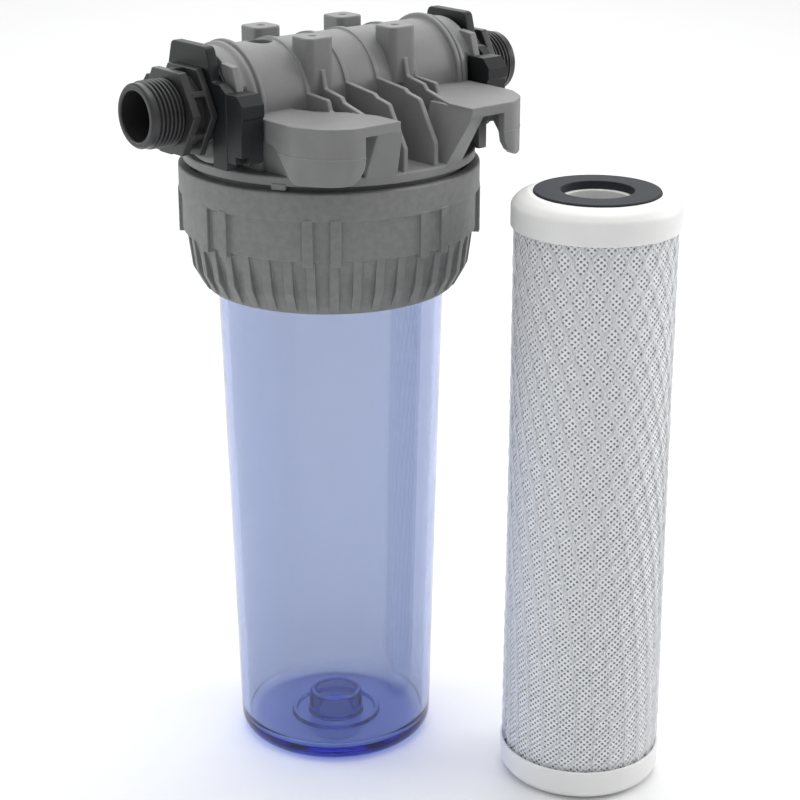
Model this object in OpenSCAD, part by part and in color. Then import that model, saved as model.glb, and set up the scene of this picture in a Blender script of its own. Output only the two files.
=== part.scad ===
// Inline water filter housing: port head, union nut, clear bowl and a
// carbon block cartridge standing beside the housing.
// Frame: Z up, origin on the bowl axis at the face it stands on,
// X along the ports (inlet at -X, outlet at +X), millimetres.

/* [Bowl] */
// Outer radius of the bowl just above its foot
bowl_base_r = 42.2; // [40:0.2:44]
// Outer radius of the bowl under the union nut
bowl_top_r = 47.2; // [45:0.2:47.4]
// Wall thickness of the bowl
bowl_wall = 3.2; // [2.4:0.2:4]
// Thickness of the bowl floor
bowl_floor = 5; // [4:0.5:7]
// Radius of the rounded foot corner
bowl_corner = 7; // [4:0.5:9]

/* [Union nut] */
// Height of the nut's lower rim above the foot
nut_z = 208; // [206:1:209]
// Height of the nut
nut_h = 51.5; // [50:0.5:52]
// Outer radius of the smooth top band
nut_r = 62; // [61.5:0.5:64]
// Number of grip flutes
flute_count = 40; // [24:2:48]
// Number of paired wrench keys
key_pairs = 8; // [4:1:10]
// Angle of the first pair of keys
key_phase = 4; // [0:1:44]

/* [Head] */
// Height of the port axis above the foot
port_z = 289; // [287:1:291]
// Outer radius of the port barrel
barrel_r = 22.5; // [21.5:0.5:23]
// Radius of the head's rim over the nut
rim_r = 60; // [58:0.5:61]
// Outer radius of the four wings
wing_r = 75; // [72:1:77]
// Height of the top face of the wings
wing_z = 288; // [286:1:290]
// Distance between the fixing bosses along the ports
boss_dx = 42; // [40:1:44]
// Distance between the fixing bosses across the ports
boss_dy = 34; // [32:1:36]
// Height of the flat tops of the bosses
boss_z = 314; // [313:0.5:316]
// Radius of the pilot holes in the bosses
pilot_r = 1.5; // [1.2:0.1:2]

/* [Ports] */
// Crest radius of the 3/4 inch pipe thread
thread_r = 13.22; // [12.9:0.01:13.3]
// Length of the threaded stub
thread_l = 14.5; // [12:0.5:16]
// Radius of the port's mouth
mouth_r = 9.8; // [9:0.1:10.2]
// Width across the flats of the wrench hexagon
hex_af = 32; // [30:1:34]

/* [Cartridge] */
// Overall height of the cartridge over its gaskets
cart_h = 256; // [248:1:258]
// Outer radius of the end caps
cap_r = 34.1; // [33.8:0.1:35.5]
// Height of the top cap's skirt
top_skirt = 14.5; // [12:0.5:20]
// Height of the bottom cap's skirt
bottom_skirt = 10; // [8:1:14]
// Distance of the standing cartridge from the bowl axis along the ports
cart_x = 56; // [56:1:70]
// Distance of the standing cartridge in front of the bowl axis
cart_y = 99.5; // [99.5:0.5:110]

/* [Hidden] */
$fn = 96;
eps = 0.02;

grey = "#7f8080";
dark_grey = "#6f706f";
black = "#26262a";
clear_blue = "#a0aad2";
white = "#f4f4f2";

// bowl flange, held by the nut against the head's skirt
flange_z = 228;
flange_t = 8;
flange_r = 54.3;
flange_top = flange_z + flange_t;
seal_r = 50.5;
seal_wire = 1.75;
seal_groove = 3.2;

// union nut
nut_top = nut_z + nut_h;
nut_lip_r = 48.2;
nut_shoulder_z = flange_z - 0.3;
nut_bore_r = 57.6;
nut_rim_r = 52;
flute_top_z = nut_z + 24;
key_top_z = nut_z + 40.5;
flute_w = 3.6;
key_w = 4.4;
key_gap = 5.4;
key_proud = 1.1;

// head
skirt_r = 57.1;
skirt_z = flange_top + 0.3;
rim_z = nut_top + 2.2;
rim_t = 3.4;
cavity_r = 46.5;
cavity_top = 256;
floor_z = rim_z + rim_t;
block_y = 20;
block_x = 50;
neck_r = 20.5;
neck_x = 61;
head_flange_r = 22.5;
head_flange_t = 2.5;
collar_x = 55;
rib_x = [7.8, 27.5];
rib_t = 2.3;
rib_r = barrel_r + 1.4;
fin_root_z = port_z + 4;
socket_r = 12.5;
socket_l = 22;
inner_port_r = 8;
rise_r = 7;
inlet_drop_x = 31;
standpipe_r = 16;
standpipe_bore = 10;
standpipe_drop = 8;
wing_t = 4;
wing_skirt_t = 3.2;
wing_skirt_z = 266;
wing_in_x = 18;
wing_out_x = 56;
wing_front_y = 67.5;
slot_x = 31;
pilaster_x = 18.6;
pilaster_w = 6;
boss_w = 11.5;
boss_foot_z = 298;
pilot_depth = 12;

// vent in the top of the barrel over the inlet's drop
vent_x = -34;
vent_mouth_r = 5;
vent_seat_z = 303;
vent_hole_r = 3.05;
vent_wire = 0.8;

// clips and nipples, distances from the bowl axis along the port
clip_in = 63.3;
clip_out = 67.7;
clip_back = 57;
clip_plate_y = 24;
clip_block_y = 34;
clip_tab_y = 12;
clip_low_z = 268;
clip_shoulder_z = 301;
clip_tab_z = 314;
clip_block_low = 271.5;
clip_block_top = 298;
slot_half = 14.3;
neck_groove_r = 14;
inner_flange_r = 20;
outer_flange_r = 19.8;
spigot_r = 12.4;
spigot_in = neck_x - 21;
wire_r = 1.22;
wire_path_r = 11.25;
groove_r = 10;
ring_inner_x = spigot_in + 4;
ring_outer_x = spigot_in + 11;
hex_in = 75;
hex_out = 78.5;
nipple_end = hex_out + thread_l;

// cartridge
gasket_r = 25.3;
gasket_bore = 14.6;
gasket_t = 3.4;
gasket_proud = 0.8;
cap_plate = 5.6;
block_r = 31.5;
block_bore = 14.9;
wrap_r = 32;
net_r = 32.9;
cap_bore = 13.2;
collar_r = 14.7;
collar_l = 14;

// points of an arc around a centre
function arc(cx, cy, r, a0, a1, n) =
    [for (i = [0:n]) [cx + r * cos(a0 + (a1 - a0) * i / n), cy + r * sin(a0 + (a1 - a0) * i / n)]];

module round_section(r, h, z = 0) {
    translate([0, 0, z]) cylinder(r = r, h = h);
}

// a shape turned about the port axis, drawn as radius against distance
module port_turned() {
    translate([0, 0, port_z]) rotate([0, 90, 0]) rotate_extrude() children();
}

module port_cylinder(r, x0, x1) {
    translate([x0, 0, port_z]) rotate([0, 90, 0]) cylinder(r = r, h = x1 - x0);
}

module torus(path_r, wire) {
    rotate_extrude() translate([path_r, 0]) circle(r = wire, $fn = 32);
}

module both_sides() {
    children();
    mirror([1, 0, 0]) children();
}

module four_quarters() {
    both_sides() {
        children();
        mirror([0, 1, 0]) children();
    }
}

// ---- bowl -------------------------------------------------------------

module bowl_profile() {
    inner_base = bowl_base_r - bowl_wall;
    inner_top = bowl_top_r - bowl_wall;
    polygon(concat(
        [[0, 0]],
        arc(bowl_base_r - bowl_corner, bowl_corner, bowl_corner, -90, 0, 6),
        [[bowl_top_r, nut_z - 2], [bowl_top_r, flange_z], [flange_r, flange_z]],
        [[flange_r, flange_top], [inner_top, flange_top], [inner_top, nut_z - 2]],
        arc(inner_base - bowl_corner + 1, bowl_floor + bowl_corner - 1, bowl_corner - 1, 0, -90, 6),
        [[0, bowl_floor]]
    ));
}

module bowl() color(clear_blue) {
    ring_r = 19.5;
    spigot_outer = 12;
    spigot_inner = 8.5;
    difference() {
        union() {
            rotate_extrude() bowl_profile();
            difference() {
                round_section(ring_r, 1.4, bowl_floor - eps);
                round_section(ring_r - 2, 3, bowl_floor - 1);
            }
            round_section(spigot_outer, 10, bowl_floor - eps);
        }
        round_section(spigot_inner, 12, bowl_floor);
        difference() {
            round_section(seal_r + 2.1, seal_groove + 1, flange_top - seal_groove);
            round_section(seal_r - 2.1, seal_groove + 1, flange_top - seal_groove);
        }
    }
}

module bowl_o_ring() color(black)
    translate([0, 0, flange_top - seal_groove + seal_wire + eps]) torus(seal_r, seal_wire - 0.03);

// ---- union nut --------------------------------------------------------

module nut_body() {
    band_in = 1.2;
    rotate_extrude() polygon([
        [nut_lip_r, nut_z], [nut_rim_r, nut_z], [nut_rim_r + 1, nut_z + 4],
        [nut_r - 3, flute_top_z - eps], [nut_r - band_in, flute_top_z], [nut_r - band_in, key_top_z],
        [nut_r, key_top_z], [nut_r, nut_top], [nut_bore_r, nut_top],
        [nut_bore_r, flange_top - 1], [flange_r + 0.4, flange_top - 1],
        [flange_r + 0.4, nut_shoulder_z], [nut_lip_r, nut_shoulder_z]
    ]);
}

module flute() {
    rotate([90, 0, 0]) translate([0, 0, -flute_w / 2]) linear_extrude(flute_w)
        polygon([
            [nut_lip_r + 1.5, nut_z + 1.5], [nut_rim_r + 1.2, nut_z + 1.5], [nut_rim_r + 4, nut_z + 6],
            [nut_r - 1.8, flute_top_z], [flange_r + 1.6, flute_top_z], [flange_r + 1.6, nut_shoulder_z - 1],
            [nut_lip_r + 1.5, nut_shoulder_z - 2]
        ]);
}

module key() {
    h = key_top_z - flute_top_z + 2;
    translate([nut_r - 3, -key_w / 2, flute_top_z - 1]) cube([3 + key_proud - 0.6, key_w, h]);
}

module ring_nut() color(dark_grey) {
    nut_body();
    for (i = [0:flute_count - 1])
        rotate([0, 0, key_phase + (i + 0.5) * 360 / flute_count]) flute();
    for (i = [0:key_pairs - 1], side = [-1, 1])
        rotate([0, 0, key_phase + i * 360 / key_pairs]) translate([0, side * key_gap, 0]) key();
}

// ---- head -------------------------------------------------------------

module head_bell() {
    rotate_extrude() polygon([
        [0, cavity_top], [cavity_r, cavity_top], [cavity_r, skirt_z], [skirt_r, skirt_z],
        [skirt_r, rim_z], [rim_r, rim_z], [rim_r, floor_z], [0, floor_z]
    ]);
}

module barrel() {
    collar_step = 3;
    port_cylinder(barrel_r, -collar_x, collar_x);
    port_cylinder(neck_r, -neck_x, neck_x);
    both_sides() {
        port_cylinder(head_flange_r, neck_x - head_flange_t, neck_x);
        port_cylinder(barrel_r + 2.4, collar_x - 2 * collar_step, collar_x - collar_step);
        port_cylinder(barrel_r + 1.2, collar_x - collar_step - eps, collar_x);
    }
    for (x = rib_x) both_sides() port_cylinder(rib_r, x - rib_t / 2, x + rib_t / 2);
    translate([-block_x, -block_y, floor_z - eps])
        cube([2 * block_x, 2 * block_y, port_z - floor_z]);
}

// a fin that stands on the rim floor, its outline in Y and Z
module fin(x, outline) {
    translate([x + rib_t / 2, 0, 0]) rotate([90, 0, -90]) linear_extrude(rib_t) polygon(outline);
}

module fins() {
    low = floor_z - eps;
    rim_step = 9;
    fall_y = 45;
    edge_y = rim_r - 2;
    for (x = rib_x) both_sides() for (side = [-1, 1]) mirror([0, (side + 1) / 2, 0])
        fin(x, x < wing_in_x
            ? [[10, low], [edge_y, low], [edge_y, floor_z + rim_step], [fall_y, fin_root_z - 3],
               [38, fin_root_z - 1.5], [10, fin_root_z]]
            : [[10, low], [40, low], [40, wing_z + 1], [34, fin_root_z - 1], [10, fin_root_z]]);
    four_quarters() fin(boss_dx / 2, [
        [10, low], [50, low], [50, wing_z + 0.5], [37, wing_z + 2], [35, fin_root_z - 1], [10, fin_root_z + 5]
    ]);
}

module wing_outline() {
    intersection() {
        difference() {
            circle(r = wing_r);
            circle(r = 44);
        }
        translate([wing_in_x, -wing_front_y]) square([wing_out_x - wing_in_x, wing_front_y - 22]);
    }
    translate([34, -44]) square([wing_out_x - 34, 25.5]);
}

module wing() {
    // flat top plate
    translate([0, 0, wing_z - wing_t]) linear_extrude(wing_t) wing_outline();
    // hanging outer skirt
    translate([0, 0, wing_skirt_z]) linear_extrude(wing_z - wing_skirt_z - eps) intersection() {
        difference() {
            circle(r = wing_r);
            circle(r = wing_r - wing_skirt_t);
        }
        translate([slot_x, -wing_front_y]) square([wing_out_x - slot_x, wing_front_y - 22]);
    }
    // post from the rim to the plate, at the inner end
    translate([pilaster_x + pilaster_w, 0, 0]) rotate([90, 0, -90]) linear_extrude(pilaster_w)
        polygon([
            [44, floor_z - eps], [rim_r - 2.5, floor_z - eps], [rim_r + 5, wing_z - 2],
            [rim_r + 5, wing_z - eps], [44, wing_z - eps]
        ]);
    // web that carries the plate near the port
    translate([44, -42, floor_z - eps]) cube([4, 24, wing_z - floor_z - 1]);
}

module boss() {
    translate([boss_dx / 2, boss_dy / 2, boss_foot_z - 8]) linear_extrude(boss_z - boss_foot_z + 8)
        offset(r = 2, $fn = 16) square(boss_w - 4, center = true);
}

// ---- head, with its waterways ----------------------------------------

module waterways() {
    both_sides() port_cylinder(socket_r, neck_x - socket_l, neck_x + 1);
    port_cylinder(inner_port_r, -neck_x, -inlet_drop_x + 4);
    port_cylinder(inner_port_r, -4, neck_x);
    // inlet drop into the space round the cartridge
    translate([-inlet_drop_x, 0, cavity_top - 1]) cylinder(r = rise_r, h = port_z - cavity_top + 1);
    // outlet rise from the cartridge's core
    translate([0, 0, cavity_top - standpipe_drop - 1]) cylinder(r = standpipe_bore, h = 23);
    translate([0, 0, cavity_top]) cylinder(r = rise_r, h = port_z - cavity_top);
}

module vent_hole() {
    translate([vent_x, 0, vent_seat_z]) cylinder(r = vent_mouth_r, h = 20);
    translate([vent_x, 0, port_z]) cylinder(r = vent_hole_r, h = vent_seat_z - port_z + 1);
}

module head_body() color(grey) difference() {
    union() {
        head_bell();
        round_section(standpipe_r, standpipe_drop + 1, cavity_top - standpipe_drop);
        barrel();
        fins();
        four_quarters() wing();
        four_quarters() boss();
    }
    waterways();
    vent_hole();
    four_quarters() translate([boss_dx / 2, boss_dy / 2, boss_z - pilot_depth])
        cylinder(r = pilot_r, h = pilot_depth + 1, $fn = 32);
}

module vent_screw() color(black) translate([vent_x, 0, 0]) {
    head_low = vent_seat_z + 2 * vent_wire + 0.05;
    difference() {
        union() {
            translate([0, 0, head_low]) cylinder(r = 4.7, h = 4);
            translate([0, 0, port_z + 4]) cylinder(r = vent_hole_r - 0.05, h = head_low - port_z - 3);
        }
        translate([-5, -0.6, head_low + 2.6]) cube([10, 1.2, 3]);
    }
}

module vent_o_ring() color(black)
    translate([vent_x, 0, vent_seat_z + vent_wire + 0.03]) torus(vent_hole_r + vent_wire, vent_wire - 0.02);

// ---- port nipples, their seals and the clips that hold them -----------

module nipple() {
    lead = 1.2;
    hex_r = hex_af / sqrt(3);
    difference() {
        union() {
            port_turned() polygon([
                [inner_port_r, spigot_in], [spigot_r, spigot_in],
                [spigot_r, neck_x + 0.05], [inner_flange_r, neck_x + 0.05],
                [inner_flange_r, clip_in - 0.3], [neck_groove_r, clip_in - 0.3],
                [neck_groove_r, clip_out + 0.3], [outer_flange_r, clip_out + 0.3],
                [outer_flange_r, 71], [14.5, 71], [14.5, hex_in], [thread_r, hex_in],
                [thread_r, nipple_end - lead], [thread_r - lead, nipple_end],
                [mouth_r, nipple_end], [mouth_r, 70], [inner_port_r, 68]
            ]);
            translate([hex_in, 0, port_z]) rotate([90, 0, 90]) difference() {
                cylinder(r = hex_r, h = hex_out - hex_in, $fn = 6);
                translate([0, 0, -1]) cylinder(r = 12, h = 6);
            }
            for (a = [0:60:300])
                translate([70.5, 0, port_z]) rotate([a, 0, 0]) translate([0, 12.5, -1.2]) cube([5, 5, 2.4]);
        }
        for (x = [ring_inner_x, ring_outer_x]) port_turned()
            translate([groove_r, x - 1.5]) square([4, 3]);
    }
}

module port_ring(x) port_turned() translate([wire_path_r, x]) circle(r = wire_r, $fn = 32);

module clip_outline() {
    difference() {
        union() {
            translate([-clip_plate_y, clip_low_z]) square([2 * clip_plate_y, clip_shoulder_z - clip_low_z]);
            translate([-clip_tab_y, clip_low_z]) square([2 * clip_tab_y, clip_tab_z - clip_low_z]);
        }
        translate([0, port_z]) circle(r = slot_half);
        translate([-slot_half, clip_low_z - 1]) square([2 * slot_half, port_z - clip_low_z + 1]);
    }
}

module clip() {
    translate([clip_in, 0, 0]) rotate([90, 0, 90]) linear_extrude(clip_out - clip_in) clip_outline();
    for (side = [0, 1]) mirror([0, side, 0]) {
        translate([clip_back, clip_plate_y - eps, clip_block_low])
            cube([clip_out - clip_back, clip_block_y - clip_plate_y, clip_block_top - clip_block_low]);
        translate([clip_back, 21, clip_block_low])
            cube([neck_x - head_flange_t - 0.5 - clip_back, 4, clip_block_top - clip_block_low]);
    }
}

module inlet_nipple() color(black) mirror([1, 0, 0]) nipple();
module outlet_nipple() color(black) nipple();
module inlet_o_ring_inner() color(black) mirror([1, 0, 0]) port_ring(ring_inner_x);
module inlet_o_ring_outer() color(black) mirror([1, 0, 0]) port_ring(ring_outer_x);
module outlet_o_ring_inner() color(black) port_ring(ring_inner_x);
module outlet_o_ring_outer() color(black) port_ring(ring_outer_x);
module inlet_clip() color(black) mirror([1, 0, 0]) clip();
module outlet_clip() color(black) clip();

// ---- cartridge --------------------------------------------------------

module on_stand() translate([cart_x, -cart_y, 0]) children();

// cap seen as radius against height above its own outer face, with the collar
// that plugs into the block's bore
module cap(skirt, bevel) {
    plate = gasket_proud;
    seat = gasket_t + 0.05;
    rotate_extrude() polygon([
        [cap_bore, seat], [gasket_r + 0.1, seat], [gasket_r + 0.1, plate], [cap_r - bevel, plate],
        [cap_r, plate + bevel * 0.75], [cap_r, skirt], [net_r + 0.15, skirt],
        [net_r + 0.15, cap_plate], [collar_r, cap_plate], [collar_r, collar_l], [cap_bore, collar_l]
    ]);
}

module gasket() {
    rotate_extrude() translate([gasket_bore, 0]) square([gasket_r - gasket_bore, gasket_t]);
}

module tube(outer, inner, z0, z1) {
    difference() {
        round_section(outer, z1 - z0, z0);
        round_section(inner, z1 - z0 + 2, z0 - 1);
    }
}

module top_down() on_stand() translate([0, 0, cart_h]) mirror([0, 0, 1]) children();

module cartridge_top_cap() color(white) top_down() cap(top_skirt, 6);
module cartridge_bottom_cap() color(white) on_stand() cap(bottom_skirt, 1.6);
module cartridge_top_gasket() color(black) top_down() gasket();
module cartridge_bottom_gasket() color(black) on_stand() gasket();
module carbon_block() color("#2b2b2b")
    on_stand() tube(block_r, block_bore, cap_plate + eps, cart_h - cap_plate - eps);
module outer_wrap() color("#e9eaec")
    on_stand() tube(wrap_r, block_r + eps, cap_plate + eps, cart_h - cap_plate - eps);
module outer_net() color(white)
    on_stand() tube(net_r, wrap_r + eps, cap_plate + 0.5, cart_h - cap_plate - 0.5);

head_body();
vent_screw();
vent_o_ring();
ring_nut();
bowl();
bowl_o_ring();
inlet_nipple();
outlet_nipple();
inlet_o_ring_inner();
inlet_o_ring_outer();
outlet_o_ring_inner();
outlet_o_ring_outer();
inlet_clip();
outlet_clip();
cartridge_top_cap();
cartridge_bottom_cap();
cartridge_top_gasket();
cartridge_bottom_gasket();
carbon_block();
outer_wrap();
outer_net();
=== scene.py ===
"""Looks of the inline water filter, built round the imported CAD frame.

The housing stands on its bowl at the origin, its ports along X, and the loose cartridge stands in front of
it. Sizes below are in millimetres; places come from the frame, and MM turns both to metres.
"""

import logging
import math
from dataclasses import dataclass, field
from enum import Enum
from itertools import pairwise

import bpy
from mathutils import Matrix, Vector


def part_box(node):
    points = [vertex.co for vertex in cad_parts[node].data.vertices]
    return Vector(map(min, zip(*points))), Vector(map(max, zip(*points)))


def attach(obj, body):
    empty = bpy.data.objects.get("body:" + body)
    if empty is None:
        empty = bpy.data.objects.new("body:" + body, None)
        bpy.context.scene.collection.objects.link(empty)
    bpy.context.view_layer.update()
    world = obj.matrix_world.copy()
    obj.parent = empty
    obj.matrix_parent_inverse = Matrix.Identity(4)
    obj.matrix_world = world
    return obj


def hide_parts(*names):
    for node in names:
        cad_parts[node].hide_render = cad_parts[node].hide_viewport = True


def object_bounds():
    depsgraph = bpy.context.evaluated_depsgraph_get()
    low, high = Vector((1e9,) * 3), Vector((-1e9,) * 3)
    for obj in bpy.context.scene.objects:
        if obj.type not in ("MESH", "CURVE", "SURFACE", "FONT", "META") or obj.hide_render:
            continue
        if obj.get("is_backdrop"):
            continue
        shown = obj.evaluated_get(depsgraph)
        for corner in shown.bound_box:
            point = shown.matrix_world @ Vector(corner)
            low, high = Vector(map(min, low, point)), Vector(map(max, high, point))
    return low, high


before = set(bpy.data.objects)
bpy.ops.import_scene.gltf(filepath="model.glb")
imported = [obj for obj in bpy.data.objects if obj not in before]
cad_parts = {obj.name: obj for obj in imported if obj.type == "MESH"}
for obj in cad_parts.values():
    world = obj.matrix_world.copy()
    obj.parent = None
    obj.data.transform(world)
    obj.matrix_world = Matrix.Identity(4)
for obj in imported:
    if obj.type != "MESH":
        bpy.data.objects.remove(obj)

LOG = logging.getLogger("filter")
MM = 0.001
MERGE = 1e-6
STRAIGHT = math.radians(89)
FINE_DETAIL = 3.0
NOISE_MIDDLE = (0.35, 0.65)
BIG_ROUND = 144
PORT_ROUND = 96
BORE_ROUND = 48

Corner = tuple[float, float, float]
Point = tuple[float, float]
Node = bpy.types.Node
Tree = bpy.types.NodeTree
Material = bpy.types.Material
Piece = bpy.types.Object


# ---- places in the frame ----------------------------------------------------


def box_mm(node: str) -> tuple[Vector, Vector]:
    """Lowest and highest corner of a CAD node, in millimetres."""
    low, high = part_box(node)
    return low / MM, high / MM


class Axis(Enum):
    """The axis that an outline is turned about."""

    X = (1, 0, 0)
    Z = (0, 0, 1)

    def place(self, radius: float, along: float, centre: Vector) -> Vector:
        """Where an outline's point starts, in metres.

        Args:
            radius: Distance from the axis.
            along: Place along the axis.
            centre: A point on the axis.

        Returns:
            The point, on the side of the axis that the turning starts from.
        """
        if self is Axis.X:
            return Vector((along, centre.y, centre.z + radius)) * MM
        return Vector((centre.x + radius, centre.y, along)) * MM


class Plane(Enum):
    """The plane that an outline is drawn in, and so the way it is pulled out."""

    ACROSS = "outline in Y and Z, pulled along X"
    ALONG = "outline in X and Z, pulled along Y"
    FLAT = "outline in X and Y, pulled along Z"

    def place(self, u: float, v: float, depth: float) -> Vector:
        """A point of the plane at a depth, in metres."""
        if self is Plane.ACROSS:
            return Vector((depth, u, v)) * MM
        if self is Plane.ALONG:
            return Vector((u, depth, v)) * MM
        return Vector((u, v, depth)) * MM


class Joining(Enum):
    """What is left when two solids are put together."""

    BOTH = "UNION"
    CUT = "DIFFERENCE"
    COMMON = "INTERSECT"


class Mode(Enum):
    """The two ways of working on a piece."""

    EDIT = "EDIT"
    OBJECT = "OBJECT"


# ---- outlines ---------------------------------------------------------------


def rounded(corners: list[Corner], closed: bool = True, steps: int = 4) -> list[Point]:
    """An outline with its corners turned to arcs.

    Args:
        corners: Each corner as (u, v, radius of its arc), radius 0 for a sharp one.
        closed: Whether the last corner joins the first.
        steps: Chords in each arc.

    Returns:
        The outline's points.
    """
    points: list[Point] = []
    last = len(corners) - 1
    for i, (u, v, radius) in enumerate(corners):
        if radius <= 0 or (not closed and i in (0, last)):
            points.append((u, v))
            continue
        here = Vector((u, v))
        back = Vector(corners[i - 1][:2]) - here
        ahead = Vector(corners[(i + 1) % len(corners)][:2]) - here
        half = back.angle(ahead) / 2
        if half > STRAIGHT:
            points.append((u, v))
            continue
        reach = min(radius / math.tan(half), 0.48 * back.length, 0.48 * ahead.length)
        radius = reach * math.tan(half)
        centre = here + (back.normalized() + ahead.normalized()).normalized() * radius / math.sin(half)
        start = here + back.normalized() * reach - centre
        turn = start.angle_signed(here + ahead.normalized() * reach - centre)
        for k in range(steps + 1):
            spoke = Matrix.Rotation(-turn * k / steps, 2) @ start
            points.append(tuple(centre + spoke))
    return points


def hexagon_corners(across: float, height: float, corner: float) -> list[Corner]:
    """The corners of a hexagon that stands on a flat line between two points.

    Args:
        across: Width across the flats.
        height: The centre's second coordinate.
        corner: Radius of its corners.

    Returns:
        The six corners in order.
    """
    radius = across / math.sqrt(3)
    turns = (math.tau * i / 6 for i in range(6))
    return [(radius * math.cos(a), height + radius * math.sin(a), corner) for a in turns]


# ---- modelling --------------------------------------------------------------


def activate(piece: Piece) -> Piece:
    """Selects one piece alone and makes it the active one."""
    bpy.ops.object.select_all(action="DESELECT")
    piece.select_set(True)
    bpy.context.view_layer.objects.active = piece
    return piece


def editing(mode: Mode) -> None:
    """Enters or leaves edit mode, with all selected on the way in."""
    bpy.ops.object.mode_set(mode=mode.value)
    if mode is Mode.EDIT:
        bpy.ops.mesh.select_all(action="SELECT")


def chain(name: str, places: list[Vector]) -> Piece:
    """A closed chain of edges, drawn by pulling one vertex from place to place.

    Args:
        name: The new piece's name.
        places: The chain's points, in metres.

    Returns:
        The piece, still in edit mode.
    """
    bpy.ops.object.select_all(action="DESELECT")
    bpy.ops.mesh.primitive_plane_add(size=MM)
    piece = bpy.context.object
    piece.name = piece.data.name = name
    editing(Mode.EDIT)
    bpy.ops.mesh.merge(type="CENTER")
    bpy.ops.transform.translate(value=places[0])
    for here, there in pairwise([*places, places[0]]):
        bpy.ops.mesh.extrude_region_move(TRANSFORM_OT_translate={"value": there - here})
    bpy.ops.mesh.select_all(action="SELECT")
    bpy.ops.mesh.remove_doubles(threshold=MERGE)
    return piece


def closed_up(piece: Piece) -> Piece:
    """Merges doubles, turns every face outward and leaves edit mode."""
    bpy.ops.mesh.select_all(action="SELECT")
    bpy.ops.mesh.remove_doubles(threshold=MERGE)
    bpy.ops.mesh.normals_make_consistent(inside=False)
    editing(Mode.OBJECT)
    return piece


def turned(name: str, outline: list[Point], axis: Axis, centre: Vector, steps: int = 96) -> Piece:
    """A solid turned from an outline.

    Args:
        name: The piece's name.
        outline: Points as (radius, place along the axis).
        axis: The axis to turn about.
        centre: A point on the axis, in millimetres.
        steps: Facets in a full turn.

    Returns:
        The closed solid.
    """
    piece = chain(name, [axis.place(r, along, centre) for r, along in outline])
    bpy.ops.mesh.spin(steps=steps, angle=math.tau, center=centre * MM, axis=axis.value)
    return closed_up(piece)


def pulled(name: str, outline: list[Point], plane: Plane, start: float, end: float) -> Piece:
    """A solid pulled from a flat outline.

    Args:
        name: The piece's name.
        outline: Points in the plane.
        plane: The plane they are drawn in.
        start: Depth of the outline.
        end: Depth that it is pulled to.

    Returns:
        The closed solid.
    """
    piece = chain(name, [plane.place(u, v, start) for u, v in outline])
    bpy.ops.mesh.edge_face_add()
    depth = plane.place(0, 0, end - start)
    bpy.ops.mesh.extrude_region_move(TRANSFORM_OT_translate={"value": depth})
    return closed_up(piece)


def slab(
    name: str, low: Point, high: Point, plane: Plane, start: float, end: float, corner: float = 0,
) -> Piece:
    """A pulled rectangle.

    Args:
        name: The piece's name.
        low: Lowest corner in the plane.
        high: Highest corner in the plane.
        plane: The plane it is drawn in.
        start: Depth of the outline.
        end: Depth that it is pulled to.
        corner: Radius of its corners.

    Returns:
        The closed solid.
    """
    (a, b), (c, d) = low, high
    corners = [(a, b, corner), (c, b, corner), (c, d, corner), (a, d, corner)]
    return pulled(name, rounded(corners), plane, start, end)


def with_modifier(piece: Piece, kind: str, **settings: object) -> Piece:
    """Adds a modifier with its settings and applies it."""
    modifier = activate(piece).modifiers.new(kind.lower(), kind)
    for key, value in settings.items():
        setattr(modifier, key, value)
    bpy.ops.object.modifier_apply(modifier=modifier.name)
    return piece


def softened(piece: Piece, width: float, steps: int = 2, angle: float = 35) -> Piece:
    """Rounds a piece's sharp edges, as a mould's milled corners are.

    Args:
        piece: The piece.
        width: Width of the rounding.
        steps: Facets across it.
        angle: Least angle of an edge that is rounded, in degrees.

    Returns:
        The piece.
    """
    return with_modifier(
        piece, "BEVEL", width=width * MM, segments=steps, limit_method="ANGLE",
        angle_limit=math.radians(angle),
    )


def combined(base: Piece, tool: Piece, joining: Joining = Joining.BOTH) -> Piece:
    """Joins, cuts or intersects two solids, and removes the second.

    Args:
        base: The solid that stays.
        tool: The other solid.
        joining: What is left of the two.

    Returns:
        The base.
    """
    with_modifier(base, "BOOLEAN", operation=joining.value, solver="MANIFOLD", object=tool)
    bpy.data.objects.remove(tool)
    return base


def mirrored(piece: Piece, x: bool = True, y: bool = True) -> Piece:
    """A piece with its mirror images across the planes X = 0 and Y = 0."""
    return with_modifier(piece, "MIRROR", use_axis=(x, y, False), use_mirror_merge=False)


def joined(pieces: list[Piece]) -> Piece:
    """Several pieces made one, under the first one's name."""
    activate(pieces[0])
    for piece in pieces[1:]:
        piece.select_set(True)
    bpy.ops.object.join()
    return pieces[0]


def copied(piece: Piece, name: str, move: Matrix) -> Piece:
    """A copy with its own mesh, moved.

    Args:
        piece: The piece to copy.
        name: The copy's name.
        move: How the copy's mesh is moved, in metres.

    Returns:
        The copy.
    """
    copy = piece.copy()
    copy.data = piece.data.copy()
    copy.name = copy.data.name = name
    copy.data.transform(move)
    bpy.context.collection.objects.link(copy)
    return copy


def ringed(piece: Piece, turns: list[float], centre: Vector, axis: Axis = Axis.Z) -> Piece:
    """Copies of a piece set round an axis, in place of the first one.

    Args:
        piece: The piece at angle 0, which is removed.
        turns: The copies' angles, in degrees.
        centre: A point on the axis, in millimetres.
        axis: The axis.

    Returns:
        One piece that holds all the copies.
    """
    to_axis = Matrix.Translation(centre * MM)
    name = piece.name
    copies = []
    for angle in turns:
        spin = Matrix.Rotation(math.radians(angle), 4, Vector(axis.value))
        copies.append(copied(piece, f"{name}_turned", to_axis @ spin @ to_axis.inverted()))
    bpy.data.objects.remove(piece)
    ring = joined(copies)
    ring.name = name
    return ring


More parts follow.
